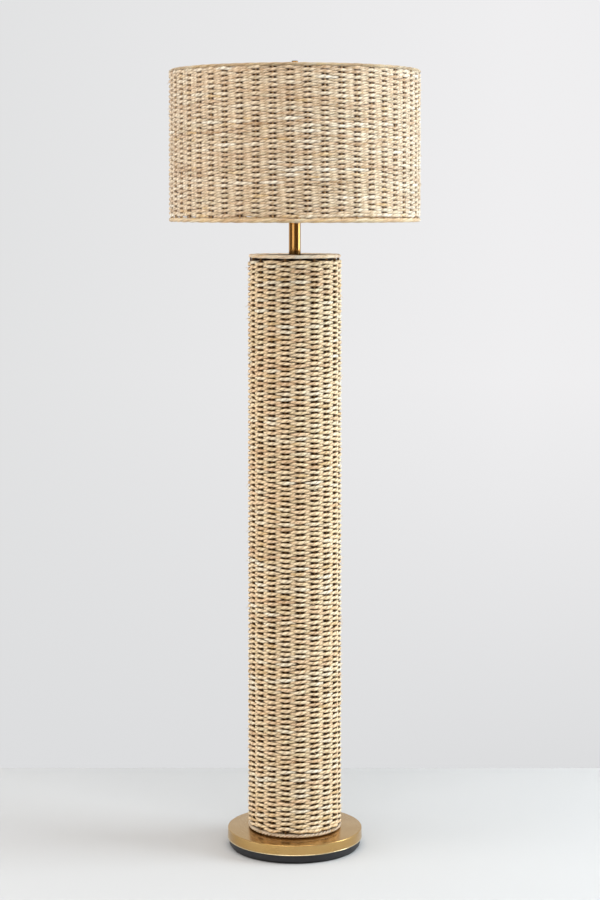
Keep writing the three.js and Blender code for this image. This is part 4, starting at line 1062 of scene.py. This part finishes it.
tipLow, tipHigh, tipRadius = ends("bulb_tip")
contact = discProfile(tipRadius * bulbLook["contactShare"], tipRadius, tipLow, tipHigh)
install(turned("bulb_contact", contact, zincSteel, 32, 0.0006), "bulb", "bulb_tip")
seatLow, seatHigh, seatRadius = ends("bulb_insulator")
seat = discProfile(tipRadius, seatRadius, seatLow, seatHigh)
install(turned("bulb_glass_seat", seat, mouldedPhenolic, 48, 0.0004), "bulb", "bulb_insulator")
screwLow, screwHigh, screwRadius = ends("bulb_cap")
install(turned("bulb_screw", [
    (0, screwLow), (seatRadius, screwLow),
    *threaded(screwLow + 0.001, screwHigh - 0.001, screwRadius, 0.0008, pitch),
    (screwRadius, screwHigh), (0, screwHigh),
], zincSteel, 56, 0.0004), "bulb", "bulb_cap")
bodyLow, bodyHigh, bodyRadius = ends("bulb_body")
install(turned("bulb_neck", [
    (0, bodyLow), (bulbLook["neck"], bodyLow), (bulbLook["neck"], bodyLow + bulbLook["neckTall"]),
    (bulbLook["flare"], bodyLow + bulbLook["flareTall"]), (bodyRadius, bodyHigh - bulbLook["rimTall"]),
    (bodyRadius, bodyHigh), (0, bodyHigh),
], whiteMoulding, 64, 0.003), "bulb", "bulb_body")
globeLow, globeHigh, globeRadius = ends("bulb_globe")
startAngle = -math.acos(bulbLook["domeMouth"] / globeRadius)
stretch = (globeHigh - globeLow) / (1 - math.sin(startAngle))
dome = [(0, globeLow)]
domeSteps = bulbLook["domeSteps"]
for step in range(domeSteps + 1):
    angle = startAngle + (math.pi / 2 - startAngle) * step / domeSteps
    radius = globeRadius * math.cos(angle) if step < domeSteps else 0
    dome.append((radius, globeLow + stretch * (math.sin(angle) - math.sin(startAngle))))
install(turned("bulb_dome", dome, frostedDome, 64, 0), "bulb", "bulb_globe")
print("lampholder and bulb made")


# CAD nodes that stay get their finish

keptFinish = {
    "base_washer": zincSteel, "base_nut": zincSteel, "center_pipe": zincSteel, "column_top_nut": zincSteel,
    "column_bottom_plate": wirePaint, "socket_cap_screw": zincSteel, "socket_liner": linerPaper,
    "terminal_screw_left": stampedBrass, "terminal_screw_right": zincSteel, "center_contact": stampedBrass,
}
for label, material in keptFinish.items():
    mesh = nodes[label].data
    mesh.materials.clear()
    mesh.materials.append(material)


# Floor, backdrop and light

stageLook = {
    "wallY": 0.575, "width": 14.0, "depth": 9.0, "height": 6.0, "ambient": 0.47,
    "floorLeft": (0.53, 0.53, 0.53), "floorRight": (0.52, 0.515, 0.51), "floorUnderKey": (0.27, 0.27, 0.27),
    "wallFoot": (0.72, 0.725, 0.735), "wallLeft": (0.74, 0.745, 0.75), "wallRight": (0.865, 0.86, 0.87),
}


def clearedTree(owner):
    owner.use_nodes = True
    owner.node_tree.nodes.clear()
    return owner.node_tree


def mixShaders(amount, first, second):
    return nodeAfter("ShaderNodeMixShader", {0: amount, 1: first, 2: second})[0]


def seenDirectly(tree):
    path = tree.nodes.new("ShaderNodeLightPath").outputs
    rays = add(path["Is Glossy Ray"], path["Is Transmission Ray"], path["Is Camera Ray"])
    return calc("MINIMUM", 1.0, rays)


def makeFloorPaper(look):
    material = bpy.data.materials.new("floorPaper")
    tree = clearedTree(material)
    x = separate(objectPlace(tree))[0]
    near = blendColours(spread(x, -0.75, 0.75), (*look["floorLeft"], 1), (*look["floorRight"], 1))
    # the paper is darker under the key light, where it would burn out
    colour = blendColours(spread(x, 0.85, 2.1), near, (*look["floorUnderKey"], 1))
    diffuse = nodeAfter("ShaderNodeBsdfDiffuse", {"Color": colour})[0]
    nodeAfter("ShaderNodeOutputMaterial", {"Surface": diffuse})
    return material


def makeGlowingBackdrop(look):
    material = bpy.data.materials.new("glowingBackdrop")
    tree = clearedTree(material)
    x, _, z = separate(objectPlace(tree))
    # painted light: camera, glossy and transmission rays see the backdrop glow, brighter towards the right,
    # where the key light stands, and darker towards its foot
    upper = blendColours(spread(x, -0.9, 0.5), (*look["wallLeft"], 1), (*look["wallRight"], 1))
    colour = blendColours(spread(z, 0.0, 0.9), (*look["wallFoot"], 1), upper)
    diffuse = node(tree, "ShaderNodeBsdfDiffuse", {"Color": (0.6, 0.6, 0.6, 1)}).outputs[0]
    glow = nodeAfter("ShaderNodeEmission", {"Color": colour, "Strength": 1.0})[0]
    front = mixShaders(seenDirectly(tree), diffuse, glow)
    turnedAway = node(tree, "ShaderNodeNewGeometry").outputs["Backfacing"]
    clear = node(tree, "ShaderNodeBsdfTransparent").outputs[0]
    nodeAfter("ShaderNodeOutputMaterial", {"Surface": mixShaders(turnedAway, front, clear)})
    return material


def makeSheet(name, corners, faces, material):
    mesh = bpy.data.meshes.new(name)
    mesh.from_pydata(corners, [], faces)
    mesh.materials.append(material)
    made = addObject(name, mesh)
    return made


halfWidth, depth, wallY = stageLook["width"] / 2, stageLook["depth"], stageLook["wallY"]
makeSheet("floor", [
    (-halfWidth, -depth, 0), (halfWidth, -depth, 0), (halfWidth, depth, 0), (-halfWidth, depth, 0),
], [(0, 1, 2, 3)], makeFloorPaper(stageLook))
makeSheet("backdrop", [
    (-halfWidth, wallY, 0), (halfWidth, wallY, 0),
    (halfWidth, wallY, stageLook["height"]), (-halfWidth, wallY, stageLook["height"]),
], [(0, 1, 2, 3)], makeGlowingBackdrop(stageLook))


def addSoftbox(name, spot, aim, size, power, colour):
    data = bpy.data.lights.new(name, "AREA")
    data.shape = "RECTANGLE"
    data.size, data.size_y = size
    data.energy = power
    data.color = colour
    lamp = addObject(name, data)
    lamp.location = spot
    lamp.rotation_euler = (Vector(aim) - Vector(spot)).to_track_quat("-Z", "Y").to_euler()


addSoftbox("keyBox", (3.0, -0.35, 1.75), (0, 0, 1.15), (1.8, 2.5), 133, (0.84, 0.935, 1.0))
addSoftbox("fillBox", (-2.9, -0.75, 1.5), (0, 0, 1.0), (2.0, 2.9), 53, (1.0, 0.975, 0.95))
addSoftbox("frontBox", (-1.7, -2.5, 1.6), (0, 0, 1.0), (3.0, 3.0), 24, (1.0, 0.93, 0.83))
addSoftbox("topBox", (0.2, -1.3, 3.7), (0, 0, 0.3), (2.6, 2.4), 67, (1.0, 0.985, 0.97))

flagLook = {
    "radius": 2.3, "low": 0.25, "high": 2.6, "dark": (0.075, 0.045, 0.022), "pale": (0.11, 0.068, 0.036),
}


def makeFlagCloth(look):
    material, tree, shader = newMaterial("flagCloth", Roughness=0.95)
    threads = noise(objectPlace(tree), 300.0, 2.0)
    link(colourRamp(threads, [(0.3, look["dark"]), (0.7, look["pale"])]), shader.inputs["Base Color"])
    return material


flagCloth = makeFlagCloth(flagLook)


def addFlag(look, fromDegrees, toDegrees, steps=16):
    # a dark cloth that only shows in the brass, as one hangs beside a studio camera
    corners = []
    for step in range(steps + 1):
        angle = math.radians(fromDegrees + (toDegrees - fromDegrees) * step / steps)
        for level in (look["low"], look["high"]):
            corners.append((look["radius"] * math.sin(angle), -look["radius"] * math.cos(angle), level))
    faces = [(2 * step, 2 * step + 1, 2 * step + 3, 2 * step + 2) for step in range(steps)]
    flag = makeSheet("flag%d" % toDegrees, corners, faces, flagCloth)
    flag.visible_camera = flag.visible_diffuse = flag.visible_shadow = False


addFlag(flagLook, -12, 84)
addFlag(flagLook, -125, -52)


def makeWorld(level):
    world = bpy.data.worlds.new("studio")
    tree = clearedTree(world)
    ambient, seen = (
        node(tree, "ShaderNodeBackground", {"Color": colour, "Strength": strength}).outputs[0]
        for colour, strength in (((0.97, 0.98, 1.0, 1), level), ((0.83, 0.83, 0.84, 1), 1.0)))
    nodeAfter("ShaderNodeOutputWorld", {"Surface": mixShaders(seenDirectly(tree), ambient, seen)})
    scene.world = world


makeWorld(stageLook["ambient"])
print("stage lit")
